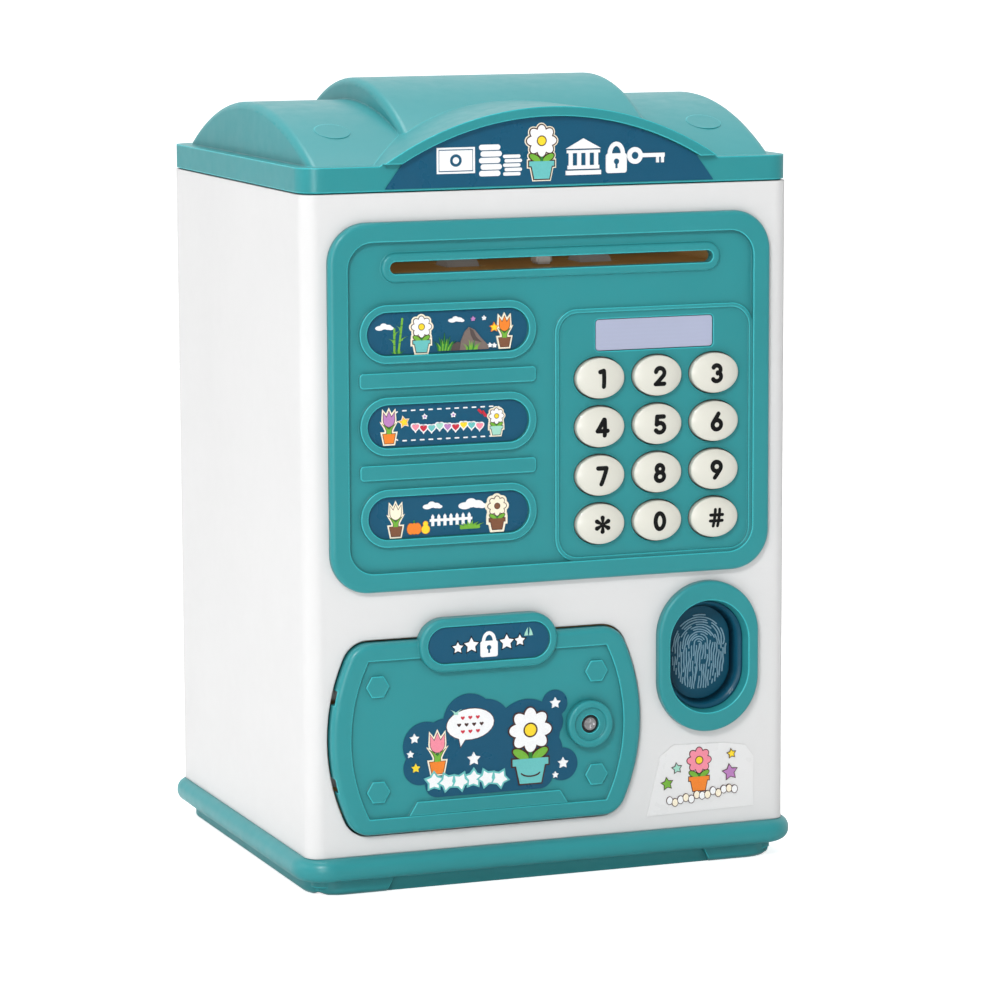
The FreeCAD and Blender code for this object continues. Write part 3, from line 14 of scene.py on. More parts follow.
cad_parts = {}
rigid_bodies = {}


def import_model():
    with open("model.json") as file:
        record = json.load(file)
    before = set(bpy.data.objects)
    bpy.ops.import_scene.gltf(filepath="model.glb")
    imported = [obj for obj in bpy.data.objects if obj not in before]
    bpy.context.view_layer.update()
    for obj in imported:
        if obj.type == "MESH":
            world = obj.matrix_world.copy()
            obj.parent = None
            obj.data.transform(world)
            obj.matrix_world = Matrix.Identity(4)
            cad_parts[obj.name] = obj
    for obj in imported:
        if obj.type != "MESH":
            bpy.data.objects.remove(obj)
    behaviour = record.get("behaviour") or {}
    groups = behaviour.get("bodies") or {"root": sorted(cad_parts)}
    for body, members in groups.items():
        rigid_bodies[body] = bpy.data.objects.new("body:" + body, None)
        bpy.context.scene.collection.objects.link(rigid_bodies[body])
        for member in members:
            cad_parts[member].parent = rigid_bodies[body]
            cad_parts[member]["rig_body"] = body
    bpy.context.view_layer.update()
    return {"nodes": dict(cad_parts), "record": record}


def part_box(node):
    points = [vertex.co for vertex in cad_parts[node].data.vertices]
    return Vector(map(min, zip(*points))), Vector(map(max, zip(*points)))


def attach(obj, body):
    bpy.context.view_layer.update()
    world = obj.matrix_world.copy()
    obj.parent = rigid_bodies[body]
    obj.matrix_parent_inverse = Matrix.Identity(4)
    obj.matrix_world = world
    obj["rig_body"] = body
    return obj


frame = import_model()

MM = 0.001
KEY_NAMES = ("1", "2", "3", "4", "5", "6", "7", "8", "9", "star", "0", "hash")


# ---------------------------------------------------------------- finishes

def srgb(red, green, blue):
    """An 8-bit display colour as linear RGBA."""
    def linear(value):
        value /= 255
        return value / 12.92 if value <= 0.04045 else ((value + 0.055) / 1.055) ** 2.4
    return (linear(red), linear(green), linear(blue), 1)


def shade(colour, factor):
    """The colour times a factor: below 1 is darker, above 1 is paler."""
    return tuple(min(1, channel * factor) for channel in colour[:3]) + (1,)


class Finish:
    """A procedural material: one Principled surface and short calls for the nodes round it."""

    def __init__(self, name):
        """Start with a surface and an output; `place` is where a point lies on the object."""
        self.material = bpy.data.materials.new(name)
        self.material.use_nodes = True
        self.tree = self.material.node_tree
        self.tree.nodes.clear()
        self.place = self.add("ShaderNodeTexCoord").outputs["Object"]
        self.surface = self.add("ShaderNodeBsdfPrincipled")
        self.output = self.add("ShaderNodeOutputMaterial")
        self.link(self.surface.outputs[0], self.output.inputs["Surface"])

    def add(self, kind, **settings):
        """A new node with these properties."""
        node = self.tree.nodes.new(kind)
        for name, value in settings.items():
            setattr(node, name, value)
        return node

    def link(self, source, target):
        """Join an output to an input."""
        self.tree.links.new(source, target)

    def put(self, value, target):
        """Link an output to an input, or set the input to a plain value."""
        if isinstance(value, bpy.types.NodeSocket):
            self.link(value, target)
        else:
            target.default_value = value

    def give(self, **values):
        """Set or link inputs of the surface; underscores stand for spaces."""
        for name, value in values.items():
            self.put(value, self.surface.inputs[name.replace("_", " ")])

    def maths(self, operation, first, second):
        """One sum over two values, each a number or an output."""
        node = self.add("ShaderNodeMath", operation=operation)
        self.put(first, node.inputs[0])
        self.put(second, node.inputs[1])
        return node.outputs[0]

    def noise(self, size, detail=2, stretch=(1, 1, 1)):
        """Noise with features of about `size` metres, stretched along the object's axes."""
        mapping = self.add("ShaderNodeMapping")
        mapping.inputs["Scale"].default_value = [1 / part for part in stretch]
        self.link(self.place, mapping.inputs["Vector"])
        node = self.add("ShaderNodeTexNoise")
        node.inputs["Scale"].default_value = 1 / size
        node.inputs["Detail"].default_value = detail
        self.link(mapping.outputs["Vector"], node.inputs["Vector"])
        return node.outputs["Fac"]

    def spread(self, source, low, high, start=0.3, end=0.7):
        """Map start..end of a value to low..high."""
        node = self.add("ShaderNodeMapRange")
        self.link(source, node.inputs["Value"])
        for name, value in zip(("From Min", "From Max", "To Min", "To Max"), (start, end, low, high)):
            node.inputs[name].default_value = value
        return node.outputs["Result"]

    def mix(self, factor, first, second):
        """One colour at factor 0 and another at factor 1."""
        node = self.add("ShaderNodeMix", data_type="RGBA")
        factor_input, first_colour, second_colour, colour_output = 0, 6, 7, 2
        self.put(factor, node.inputs[factor_input])
        self.put(first, node.inputs[first_colour])
        self.put(second, node.inputs[second_colour])
        return node.outputs[colour_output]

    def soft_edges(self, radius):
        """Normals rounded over every sharp edge, and how near an edge a point is, 0 to 1."""
        bevel = self.add("ShaderNodeBevel", samples=8)
        bevel.inputs["Radius"].default_value = radius
        flat = self.add("ShaderNodeNewGeometry")
        dot = self.add("ShaderNodeVectorMath", operation="DOT_PRODUCT")
        self.link(bevel.outputs["Normal"], dot.inputs[0])
        self.link(flat.outputs["Normal"], dot.inputs[1])
        fully_bent = 0.9
        return bevel.outputs["Normal"], self.spread(dot.outputs["Value"], 1, 0, fully_bent, 1)

    def creases(self, reach):
        """How deep in a corner or gap a point lies, 0 to 1."""
        node = self.add("ShaderNodeAmbientOcclusion", samples=8)
        node.inputs["Distance"].default_value = reach
        deepest, open_air = 0.35, 0.95
        return self.spread(node.outputs["AO"], 1, 0, deepest, open_air)

    def bump(self, height, depth, normal=None):
        """A normal tilted by a height of 0 to 1 that stands for `depth` metres."""
        node = self.add("ShaderNodeBump")
        node.inputs["Strength"].default_value = 1
        node.inputs["Distance"].default_value = depth
        self.link(height, node.inputs["Height"])
        if normal is not None:
            self.link(normal, node.inputs["Normal"])
        return node.outputs["Normal"]


def clouded(finish, colour, mottle, size, detail=2):
    """The colour in slow clouds, paler and darker by `mottle`."""
    return finish.mix(finish.spread(finish.noise(size, detail), 0, 1), shade(colour, 1 - mottle),
                      shade(colour, 1 + mottle))


def moulded(name, colour, roughness=0.34, mottle=0.03, edge_highlight=0.1, crease_darkening=0.25, coat=0.0, shine=0.5):
    """Injection-moulded plastic: faint flow clouds, fine grain, painted highlights on its edges and
    painted shade in its creases.
    """
    flow_size, edge_radius, crease_reach = 35 * MM, 0.6 * MM, 2.5 * MM
    sheen_size, grain_size, grain_depth = 4 * MM, 0.45 * MM, 0.004 * MM
    highlight_gain, crease_shade = 2.4, 0.3
    finish = Finish(name)
    normal, edge = finish.soft_edges(edge_radius)
    creases = finish.creases(crease_reach)
    # Painted highlight: edges away from creases are mixed towards a paler copy of the colour.
    highlight_mask = finish.maths("MULTIPLY", edge, finish.spread(creases, edge_highlight, 0, 0.1, 0.6))
    highlighted = finish.mix(highlight_mask, clouded(finish, colour, mottle, flow_size), shade(colour, highlight_gain))
    # Painted shade: creases found by ambient occlusion are mixed towards a darker copy of the colour.
    crease_shaded = finish.mix(finish.spread(creases, 0, crease_darkening, 0, 1), highlighted, shade(colour, crease_shade))
    sheen = finish.spread(finish.noise(sheen_size, 4), roughness - 0.04, roughness + 0.05)
    finish.give(Base_Color=crease_shaded, Roughness=sheen, Specular_IOR_Level=shine,
                Normal=finish.bump(finish.noise(grain_size, 3), grain_depth, normal),
                Coat_Weight=coat, Coat_Roughness=0.08)
    return finish.material


def matte(name, colour, roughness=0.6, relief=0.02 * MM, mottle=0.08, painted_glow=0.0):
    """Plain inner plastic or rubber with a coarser skin, which can be given painted light: it glows in its
    own colour, brightening parts deep inside the case.
    """
    cloud_size, sheen_size, grain_size = 12 * MM, 3 * MM, 0.6 * MM
    finish = Finish(name)
    clouds = clouded(finish, colour, mottle, cloud_size, 3)
    finish.give(Base_Color=clouds,
                Roughness=finish.spread(finish.noise(sheen_size, 3), roughness - 0.08, roughness + 0.08),
                Normal=finish.bump(finish.noise(grain_size, 3), relief),
                Emission_Color=clouds, Emission_Strength=painted_glow)
    return finish.material


def metal(name, colour, roughness=0.3, stretch=(1, 1, 1), scratch=0.4 * MM):
    """Bare metal with fine tool marks, long along one axis where `stretch` says so."""
    mark_depth, in_marks, between_marks = 0.003 * MM, 0.85, 1.08
    finish = Finish(name)
    marks = finish.noise(scratch, 4, stretch)
    tone = finish.mix(finish.spread(marks, 0, 1), shade(colour, in_marks), shade(colour, between_marks))
    finish.give(Base_Color=tone, Metallic=1.0,
                Roughness=finish.spread(marks, roughness - 0.08, roughness + 0.1),
                Normal=finish.bump(marks, mark_depth))
    return finish.material


def ink(name, colour, roughness=0.3, mottle=0.05):
    """Printed ink or vinyl under a thin clear film, with a faint print screen in it."""
    screen_size, sheen_size, wave_size, wave_depth = 0.25 * MM, 6 * MM, 2 * MM, 0.006 * MM
    finish = Finish(name)
    finish.give(Base_Color=clouded(finish, colour, mottle, screen_size),
                Roughness=finish.spread(finish.noise(sheen_size, 3), roughness - 0.05, roughness + 0.08),
                Normal=finish.bump(finish.noise(wave_size), wave_depth),
                Specular_IOR_Level=0.35, Coat_Weight=0.1, Coat_Roughness=0.2)
    return finish.material


def lens(name, colour):
    """The display's lilac lens: smooth, slightly deep, with faint lines and clouds behind it."""
    bands_per_metre, line_strength, cloud_size = 320, 0.05, 20 * MM
    finish = Finish(name)
    wave = finish.add("ShaderNodeTexWave", wave_type="BANDS", bands_direction="Z")
    wave.inputs["Scale"].default_value = bands_per_metre
    finish.link(finish.place, wave.inputs["Vector"])
    lines = finish.spread(wave.outputs["Fac"], 0, line_strength, 0, 1)
    tone = finish.mix(lines, colour, shade(colour, 0.6))
    cloud = finish.mix(finish.spread(finish.noise(cloud_size), 0, 0.3), tone, shade(colour, 1.12))
    finish.give(Base_Color=cloud, Roughness=0.18, Coat_Weight=0.6, Coat_Roughness=0.04)
    return finish.material


def board(name, colour):
    """Green solder mask with copper tracks showing through as paler lines."""
    track_depth = 0.03 * MM
    finish = Finish(name)
    bricks = finish.add("ShaderNodeTexBrick")
    for socket, value in (("Scale", 260), ("Mortar Size", 0.03), ("Color1", colour),
                          ("Color2", shade(colour, 0.8)), ("Mortar", shade(colour, 2.2))):
        bricks.inputs[socket].default_value = value
    finish.link(finish.place, bricks.inputs["Vector"])
    finish.give(Base_Color=bricks.outputs["Color"], Roughness=0.35, Coat_Weight=0.4,
                Normal=finish.bump(bricks.outputs["Fac"], track_depth))
    return finish.material


def battery_wrap(name, low, high):
    """A shrink sleeve: dark over most of the cell, copper at one end, steel at both tips."""
    copper_long, tip_long, tail_long, blur, copper_blur = 16.5 * MM, 2.1 * MM, 1.2 * MM, 0.1 * MM, 0.3 * MM
    steel = srgb(190, 190, 190)
    finish = Finish(name)
    split = finish.add("ShaderNodeSeparateXYZ")
    finish.link(finish.place, split.inputs[0])
    along = split.outputs["X"]
    copper_start, tip_start, tail_end = high - copper_long, high - tip_long, low + tail_long
    copper = finish.spread(along, 0, 1, copper_start, copper_start + copper_blur)
    tip = finish.spread(along, 0, 1, tip_start, tip_start + blur)
    tail = finish.spread(along, 1, 0, tail_end, tail_end + blur)
    sleeve = finish.mix(copper, srgb(26, 28, 32), srgb(176, 104, 46))
    finish.give(Base_Color=finish.mix(tail, finish.mix(tip, sleeve, steel), steel),
                Roughness=finish.spread(finish.noise(4 * MM), 0.22, 0.34),
                Metallic=finish.spread(along, 0.2, 0.9, tip_start, tip_start + blur))
    return finish.material


TEAL = srgb(42, 142, 147)
WHITE = srgb(218, 218, 218)
BLUE = srgb(20, 84, 114)

cells_low, cells_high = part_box("aa_batteries")
MATERIALS = {
    # Painted light: the moulded plastics below get painted highlights on edges and painted shade in
    # creases.
    "teal_plastic": moulded("teal_plastic", TEAL, 0.34, edge_highlight=0.8, crease_darkening=0.5),
    "white_plastic": moulded("white_plastic", WHITE, 0.42, mottle=0.012, edge_highlight=0.0, crease_darkening=0.18,
                             shine=0.25),
    "key_plastic": moulded("key_plastic", srgb(218, 217, 206), 0.34, mottle=0.01, edge_highlight=0.0,
                           crease_darkening=0.3, coat=0.4),
    "lilac_window": lens("lilac_window", srgb(172, 178, 202)),
    "label_vinyl": ink("label_vinyl", BLUE, mottle=0.04),
    "blue_gloss": moulded("blue_gloss", srgb(8, 76, 100), 0.34, mottle=0.05, edge_highlight=0.02, coat=0.1,
                          shine=0.3),
    # Painted light: the tan plastic and the grey rubber glow a little in their own colour.
    "tan_plastic": matte("tan_plastic", srgb(206, 172, 112), painted_glow=0.05),
    "dark_plastic": matte("dark_plastic", srgb(44, 45, 48), 0.5),
    "gear_nylon": matte("gear_nylon", srgb(226, 222, 208), 0.45, mottle=0.03),
    "grey_rubber": matte("grey_rubber", srgb(168, 168, 168), 0.75, relief=0.04 * MM, painted_glow=0.1),
    "circuit_board": board("circuit_board", srgb(24, 104, 60)),
    "battery_wrap": battery_wrap("battery_wrap", cells_low.x, cells_high.x),
    "brass": metal("brass", srgb(206, 172, 104), 0.28),
    "steel": metal("steel", srgb(182, 184, 188), 0.32, stretch=(12, 1, 1)),
    "chrome": metal("chrome", srgb(236, 236, 238), 0.4, scratch=0.3 * MM),
}
INKS = {
    "white": ink("ink_white", srgb(240, 241, 242)), "cream": ink("ink_cream", srgb(246, 236, 212)),
    "black": ink("ink_black", srgb(3, 3, 4), 0.6), "line": ink("ink_line", srgb(74, 44, 40)),
    "blue": ink("ink_blue", BLUE), "teal": ink("ink_teal", srgb(104, 190, 188)),
    "mint": ink("ink_mint", srgb(160, 214, 196)), "green": ink("ink_green", srgb(116, 178, 60)),
    "leaf": ink("ink_leaf", srgb(48, 128, 54)), "orange": ink("ink_orange", srgb(240, 132, 44)),
    "yellow": ink("ink_yellow", srgb(246, 214, 48)), "red": ink("ink_red", srgb(202, 48, 66)),
    "pink": ink("ink_pink", srgb(240, 140, 160)), "lilac": ink("ink_lilac", srgb(186, 128, 188)),
    "brown": ink("ink_brown", srgb(128, 84, 60)), "rock": ink("ink_rock", srgb(122, 108, 102)),
    "stone": ink("ink_stone", srgb(86, 76, 74)), "ridge": ink("ink_ridge", srgb(120, 158, 176)),
}


def dress_frame():
    """Give every CAD node the material of its slot in the record, and the front label white vinyl."""
    for row in frame["record"]["subparts"]:
        looks = frame["nodes"][row["node"]].data.materials
        looks.clear()
        looks.append(MATERIALS[row["material_slot"]])
    label = frame["nodes"]["front_label"].data.materials
    label.clear()
    label.append(ink("label_white", srgb(226, 226, 226), mottle=0.01))


# ---------------------------------------------------------------- outlines, in millimetres

def arc(x, z, wide, tall, start, end, steps=14):
    """Points along an ellipse's arc; angles in degrees from +X towards +Z."""
    angles = [math.radians(start + (end - start) * step / steps) for step in range(steps + 1)]
    return [(x + wide * math.cos(angle), z + tall * math.sin(angle)) for angle in angles]


def turned(points, x, z, degrees):
    """Points turned about (x, z)."""
    c, s = math.cos(math.radians(degrees)), math.sin(math.radians(degrees))
    return [(x + (px - x) * c - (pz - z) * s, z + (px - x) * s + (pz - z) * c) for px, pz in points]


def oval(x, z, wide, tall=None, turn=0):
    """An ellipse of these half sizes, or a circle, turned by `turn` degrees."""
    return turned(arc(x, z, wide, wide if tall is None else tall, 0, 360, 24)[:-1], x, z, turn)


def box(left, right, low, high):
    """An upright rectangle."""
    return [(left, low), (right, low), (right, high), (left, high)]


def round_box(left, right, low, high, radius):
    """An upright rectangle with round corners."""
    outline = []
    for x, z, start in ((right - radius, low + radius, 270), (right - radius, high - radius, 0),
                        (left + radius, high - radius, 90), (left + radius, low + radius, 180)):
        outline += arc(x, z, radius, radius, start, start + 90, 5)
    return outline


def star(x, z, radius, turn=0, inner=0.5):
    """A five-pointed star; `inner` is its notches' share of the radius."""
    points = 5
    outline = []
    for step in range(2 * points):
        reach = radius * (inner if step % 2 else 1)
        angle = math.radians(90 + turn + 180 * step / points)
        outline.append((x + reach * math.cos(angle), z + reach * math.sin(angle)))
    return outline


def heart(x, z, size):
    """A heart about 2 * size wide."""
    outline = []
    for step in range(28):
        t = math.tau * step / 28
        outline.append((x - size * math.sin(t) ** 3,
                        z + size / 16 * (13 * math.cos(t) - 5 * math.cos(2 * t) - 2 * math.cos(3 * t))))
    return outline


def blade(x, z, lean, tall, wide):
    """A grass blade or long leaf that bends over by `lean`."""
    left = [(x - wide / 2 * (1 - t) + lean * t * t, z + tall * t) for t in (0, 0.35, 0.7)]
    right = [(x + wide / 2 * (1 - t) + lean * t * t, z + tall * t) for t in (0.7, 0.35, 0)]
    return left + [(x + lean, z + tall)] + right


def grown(outline, by):
    """The outline pushed outwards along its corners' mean normals."""
    area = sum(x0 * z1 - x1 * z0 for (x0, z0), (x1, z1) in zip(outline, outline[1:] + outline[:1]))
    side = 1 if area > 0 else -1
    result = []
    for index, (x, z) in enumerate(outline):
        before = Vector(outline[index - 1])
        after = Vector(outline[(index + 1) % len(outline)])
        here = Vector((x, z))
        into, out = (here - before).normalized(), (after - here).normalized()
        normal = Vector((into.y + out.y, -into.x - out.x)).normalized() * side
        spread = max(0.5, abs(normal.dot(Vector((into.y, -into.x)))))
        result.append((x + normal.x * by / spread, z + normal.y * by / spread))
    return result


# ---------------------------------------------------------------- pieces

def object_of(mesh, name, materials):
    """A scene object made from a bmesh, which is used up."""
    data = bpy.data.meshes.new(name)
    mesh.to_mesh(data)
    mesh.free()
    for material in materials:
        data.materials.append(material)
    made = bpy.data.objects.new(name, data)
    bpy.context.scene.collection.objects.link(made)
    return made


def piece_of(mesh, name, body, slot, materials=None):
    """A piece that rides on a body, in its slot's material unless others are given."""
    bmesh.ops.recalc_face_normals(mesh, faces=mesh.faces)
    piece = object_of(mesh, name, materials or [MATERIALS[slot]])
    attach(piece, body)


def closed_band(mesh, rings, smooth):
    """Join rings of points, in metres, each to the next and the last to the first."""
    rows = [[mesh.verts.new(point) for point in ring] for ring in rings]
    for row, after in zip(rows, rows[1:] + rows[:1]):
        for step in range(len(row)):
            face = mesh.faces.new((row[step - 1], row[step], after[step], after[step - 1]))
            face.smooth = smooth


# ---------------------------------------------------------------- printed work

class Print:
    """Ink on a front face: thin closed prisms and strokes, each a hair proud of the last.

    FILM is how far the first stands proud, RISE is what each one adds, and a stroke's back is SUNK.
    """
    FILM, RISE, SUNK = 0.03, 0.005, -0.02

    def __init__(self, name, node, surface=None):
        """A print on a CAD node's front, or on a surface that gives y for any (x, z)."""
        low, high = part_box(node)
        self.name, self.body = name, frame["nodes"][node]["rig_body"]
        self.middle = (low + high) / 2
        self.surface = surface or (lambda x, z: low.y)
        self.mesh = bmesh.new()
        self.used = []
        self.count = 0

    def corner(self, point, lift):
        """A vertex at a point of the drawing, `lift` in front of the surface."""
        x, z = self.middle.x + point[0] * MM, self.middle.z + point[1] * MM
        return self.mesh.verts.new((x, self.surface(x, z) - lift * MM, z))

    def solid(self, faces, name):
        """Faces of one closed prism or stroke, in one ink."""
        self.count += 1
        if name not in self.used:
            self.used.append(name)
        for corners in faces:
            self.mesh.faces.new(corners).material_index = self.used.index(name)

    def fill(self, name, outline):
        """A filled outline."""
        lift = self.FILM + self.RISE * self.count
        front = [self.corner(point, lift) for point in outline]
        back = [self.corner(point, 0) for point in outline]
        walls = [(front[i - 1], front[i], back[i], back[i - 1]) for i in range(len(outline))]
        self.solid([tuple(front), tuple(reversed(back)), *walls], name)

    def stroke(self, name, path, half, closed=False, taper=None):
        """A band along a path, with round ends where it is open."""
        points = [Vector(point) for point in path]
        widths = [half if taper is None else half + (taper - half) * i / (len(points) - 1)
                  for i in range(len(points))]
        if not closed:
            head = (points[0] - points[1]).normalized()
            tail = (points[-1] - points[-2]).normalized()
            first, last, w0, w1 = points[0], points[-1], widths[0], widths[-1]
            for angle in (30, 60, 86):
                sine, cosine = math.sin(math.radians(angle)), math.cos(math.radians(angle))
                points = [first + head * w0 * sine, *points, last + tail * w1 * sine]
                widths = [w0 * cosine, *widths, w1 * cosine]
        lift = self.FILM + self.RISE * self.count
        rows = []
        for i, (point, width) in enumerate(zip(points, widths)):
            before = points[i - 1] if i or closed else points[0]
            after = points[(i + 1) % len(points)] if i + 1 < len(points) or closed else points[-1]
            along = (after - before).normalized()
            side = Vector((-along.y, along.x)) * width
            rows.append([self.corner(point + side, lift), self.corner(point - side, lift),
                         self.corner(point - side, self.SUNK), self.corner(point + side, self.SUNK)])
        pairs = list(zip(rows, rows[1:])) + ([(rows[-1], rows[0])] if closed else [])
        faces = [(a[k], b[k], b[(k + 1) % 4], a[(k + 1) % 4]) for a, b in pairs for k in range(4)]
        if not closed:
            faces += [tuple(reversed(rows[0])), tuple(rows[-1])]
        self.solid(faces, name)

    def outlined(self, shapes, halo=0.0, line=0.2, edge="line"):
        """Filled shapes that share one cream halo and one outline."""
        if halo:
            for _, outline in shapes:
                self.fill("cream", grown(outline, line + halo))
        if line:
            for _, outline in shapes:
                self.fill(edge, grown(outline, line))
        for name, outline in shapes:
            self.fill(name, outline)

    def finish(self, slot="label_vinyl"):
        """Turn the drawing into a piece that rides with its node."""
        piece_of(self.mesh, self.name, self.body, slot, [INKS[name] for name in self.used])


# ---------------------------------------------------------------- small pictures

def cloud(art, x, z, size):
    """A cloud of four puffs, about 3 * size wide."""
    for dx, dz, wide, tall in ((-1, 0, 0.75, 0.38), (-0.3, 0.28, 0.62, 0.5), (0.45, 0.12, 0.66, 0.42),
                               (0.95, -0.08, 0.5, 0.28)):
        art.fill("white", oval(x + dx * size, z + dz * size, wide * size, tall * size))


def grass(art, x, z, wide, tall, count, names=("leaf", "green")):
    """A fan of blades, tallest in the middle, with every second one shorter."""
    for step in range(count):
        t = step / (count - 1) - 0.5
        height = tall * (1 - 0.9 * abs(t)) * (0.75 if step % 2 else 1)
        leaf = blade(x + 0.55 * t * wide, z, 0.6 * t * wide, height, 0.16 * wide)
        art.fill(names[step % len(names)], leaf)


def flower_pot(art, x, z, size, petals="white", eye="yellow", pot="teal", halo=0.4, line=0.18):
    """A round daisy on a short stem in a pot, 2 * size tall, centred on (x, z)."""
    head = z + 0.42 * size
    shapes = [("leaf", box(x - 0.05 * size, x + 0.05 * size, z - 0.35 * size, head)),
              ("green", oval(x - 0.27 * size, z - 0.22 * size, 0.24 * size, 0.11 * size, 150)),
              ("green", oval(x + 0.27 * size, z - 0.22 * size, 0.24 * size, 0.11 * size, 30)),
              (pot, [(x - 0.3 * size, z - size), (x + 0.3 * size, z - size),
                     (x + 0.42 * size, z - 0.45 * size), (x - 0.42 * size, z - 0.45 * size)]),
              (pot, box(x - 0.5 * size, x + 0.5 * size, z - 0.52 * size, z - 0.34 * size))]
    for turn in range(0, 360, 45):
        angle, reach = math.radians(turn), 0.34 * size
        petal = oval(x + reach * math.cos(angle), head + reach * math.sin(angle), 0.25 * size,
                     0.17 * size, turn)
        shapes.append((petals, petal))
    art.outlined(shapes, halo, line)
    art.fill("line", oval(x, head, 0.2 * size))
    art.fill(eye, oval(x, head, 0.16 * size))


def tulip(art, x, z, size, petals="orange", pot="brown"):
    """A cupped tulip in a pot, 2 * size tall, centred on (x, z)."""
    top = z + 0.45 * size
    cup = arc(x, top, 0.36 * size, 0.42 * size, 180, 360, 10)
    cup += [(x + dx * size, top + dz * size)
            for dx, dz in ((0.36, 0.45), (0.16, 0.15), (0, 0.52), (-0.16, 0.15), (-0.36, 0.45))]
    shapes = [("leaf", box(x - 0.05 * size, x + 0.05 * size, z - 0.4 * size, top - 0.3 * size)),
              ("green", blade(x, z - 0.42 * size, -0.42 * size, 0.62 * size, 0.3 * size)),
              ("green", blade(x, z - 0.42 * size, 0.42 * size, 0.62 * size, 0.3 * size)),
              (petals, cup),
              (pot, [(x - 0.28 * size, z - size), (x + 0.28 * size, z - size),
                     (x + 0.4 * size, z - 0.42 * size), (x - 0.4 * size, z - 0.42 * size)])]
    art.outlined(shapes, halo=0.35, line=0.15)


def coin_stack(art, x, low, high, wide):
    """Five coins piled edge on, a little askew, with gaps between them."""
    count, gap = 5, 0.12
    thick = (high - low) / count
    for step in range(count):
        middle = x + (0.25 if step % 2 else -0.15)
        floor_z = low + step * thick
        coin = round_box(middle - wide / 2, middle + wide / 2, floor_z + gap, floor_z + thick - gap,
                         thick / 2 - gap - 0.02)
        art.fill("white", coin)


def banknote(art, x, z, wide, tall):
    """A note with a frame line and a ring in the middle."""
    half_wide, half_tall, margin = wide / 2, tall / 2, 0.6
    art.fill("white", box(x - half_wide, x + half_wide, z - half_tall, z + half_tall))
    half_wide, half_tall = half_wide - margin, half_tall - margin
    art.stroke("blue", box(x - half_wide, x + half_wide, z - half_tall, z + half_tall), 0.14, closed=True)
    art.fill("blue", oval(x, z, 0.24 * tall))
    art.fill("white", oval(x, z, 0.13 * tall))


def bank_building(art, x, low, high, wide):
    """A pediment over four columns on a step."""
    tall = high - low

    def block(middle, half, bottom, top):
        """A white block, measured in shares of the width and height."""
        middle, half = x + middle * wide, half * wide
        art.fill("white", box(middle - half, middle + half, low + bottom * tall, low + top * tall))

    block(0, 0.5, 0, 0.12)
    block(0, 0.45, 0.16, 0.26)
    for step in range(4):
        block((step - 1.5) * 0.24, 0.055, 0.26, 0.6)
    block(0, 0.47, 0.6, 0.68)
    eaves = low + 0.72 * tall
    art.fill("white", [(x - wide / 2, eaves), (x + wide / 2, eaves), (x, high)])


def padlock(art, x, z, size):
    """A padlock 2 * size tall, centred on (x, z)."""
    art.stroke("white", arc(x, z + 0.1 * size, 0.42 * size, 0.62 * size, 0, 180, 12), 0.13 * size)
    art.fill("white", round_box(x - 0.66 * size, x + 0.66 * size, z - size, z + 0.16 * size, 0.16 * size))
    art.fill("blue", oval(x, z - 0.32 * size, 0.17 * size))
    art.fill("blue", box(x - 0.07 * size, x + 0.07 * size, z - 0.72 * size, z - 0.3 * size))


def key_shape(art, x, z, size):
    """A door key lying along X, 2 * size long."""
    art.fill("white", oval(x - 0.6 * size, z, 0.42 * size))
    art.fill("blue", oval(x - 0.6 * size, z, 0.18 * size))
    art.fill("white", box(x - 0.25 * size, x + size, z - 0.1 * size, z + 0.1 * size))
    for step in (0.55, 0.82):
        art.fill("white", box(x + step * size, x + (step + 0.14) * size, z - 0.38 * size, z))


# ---------------------------------------------------------------- the labels

def sign_print():
    """White money pictures left and right of a potted flower."""
    art = Print("sign_print", "sign_plate")
    low, high = -6.2, 2.6
    middle = (low + high) / 2
    banknote(art, -25.2, middle, 10, 6.4)
    coin_stack(art, -16.2, low + 0.2, high - 0.6, 5.6)
    coin_stack(art, -10.4, low + 0.2, high - 3.2, 4.6)
    flower_pot(art, -2.7, -0.3, 6.6, pot="teal", halo=0.25, line=0.3)
    bank_building(art, 8.4, low, high + 0.2, 9.4)
    padlock(art, 17.2, middle, 4.2)
    key_shape(art, 25.2, middle, 5)
    art.finish()


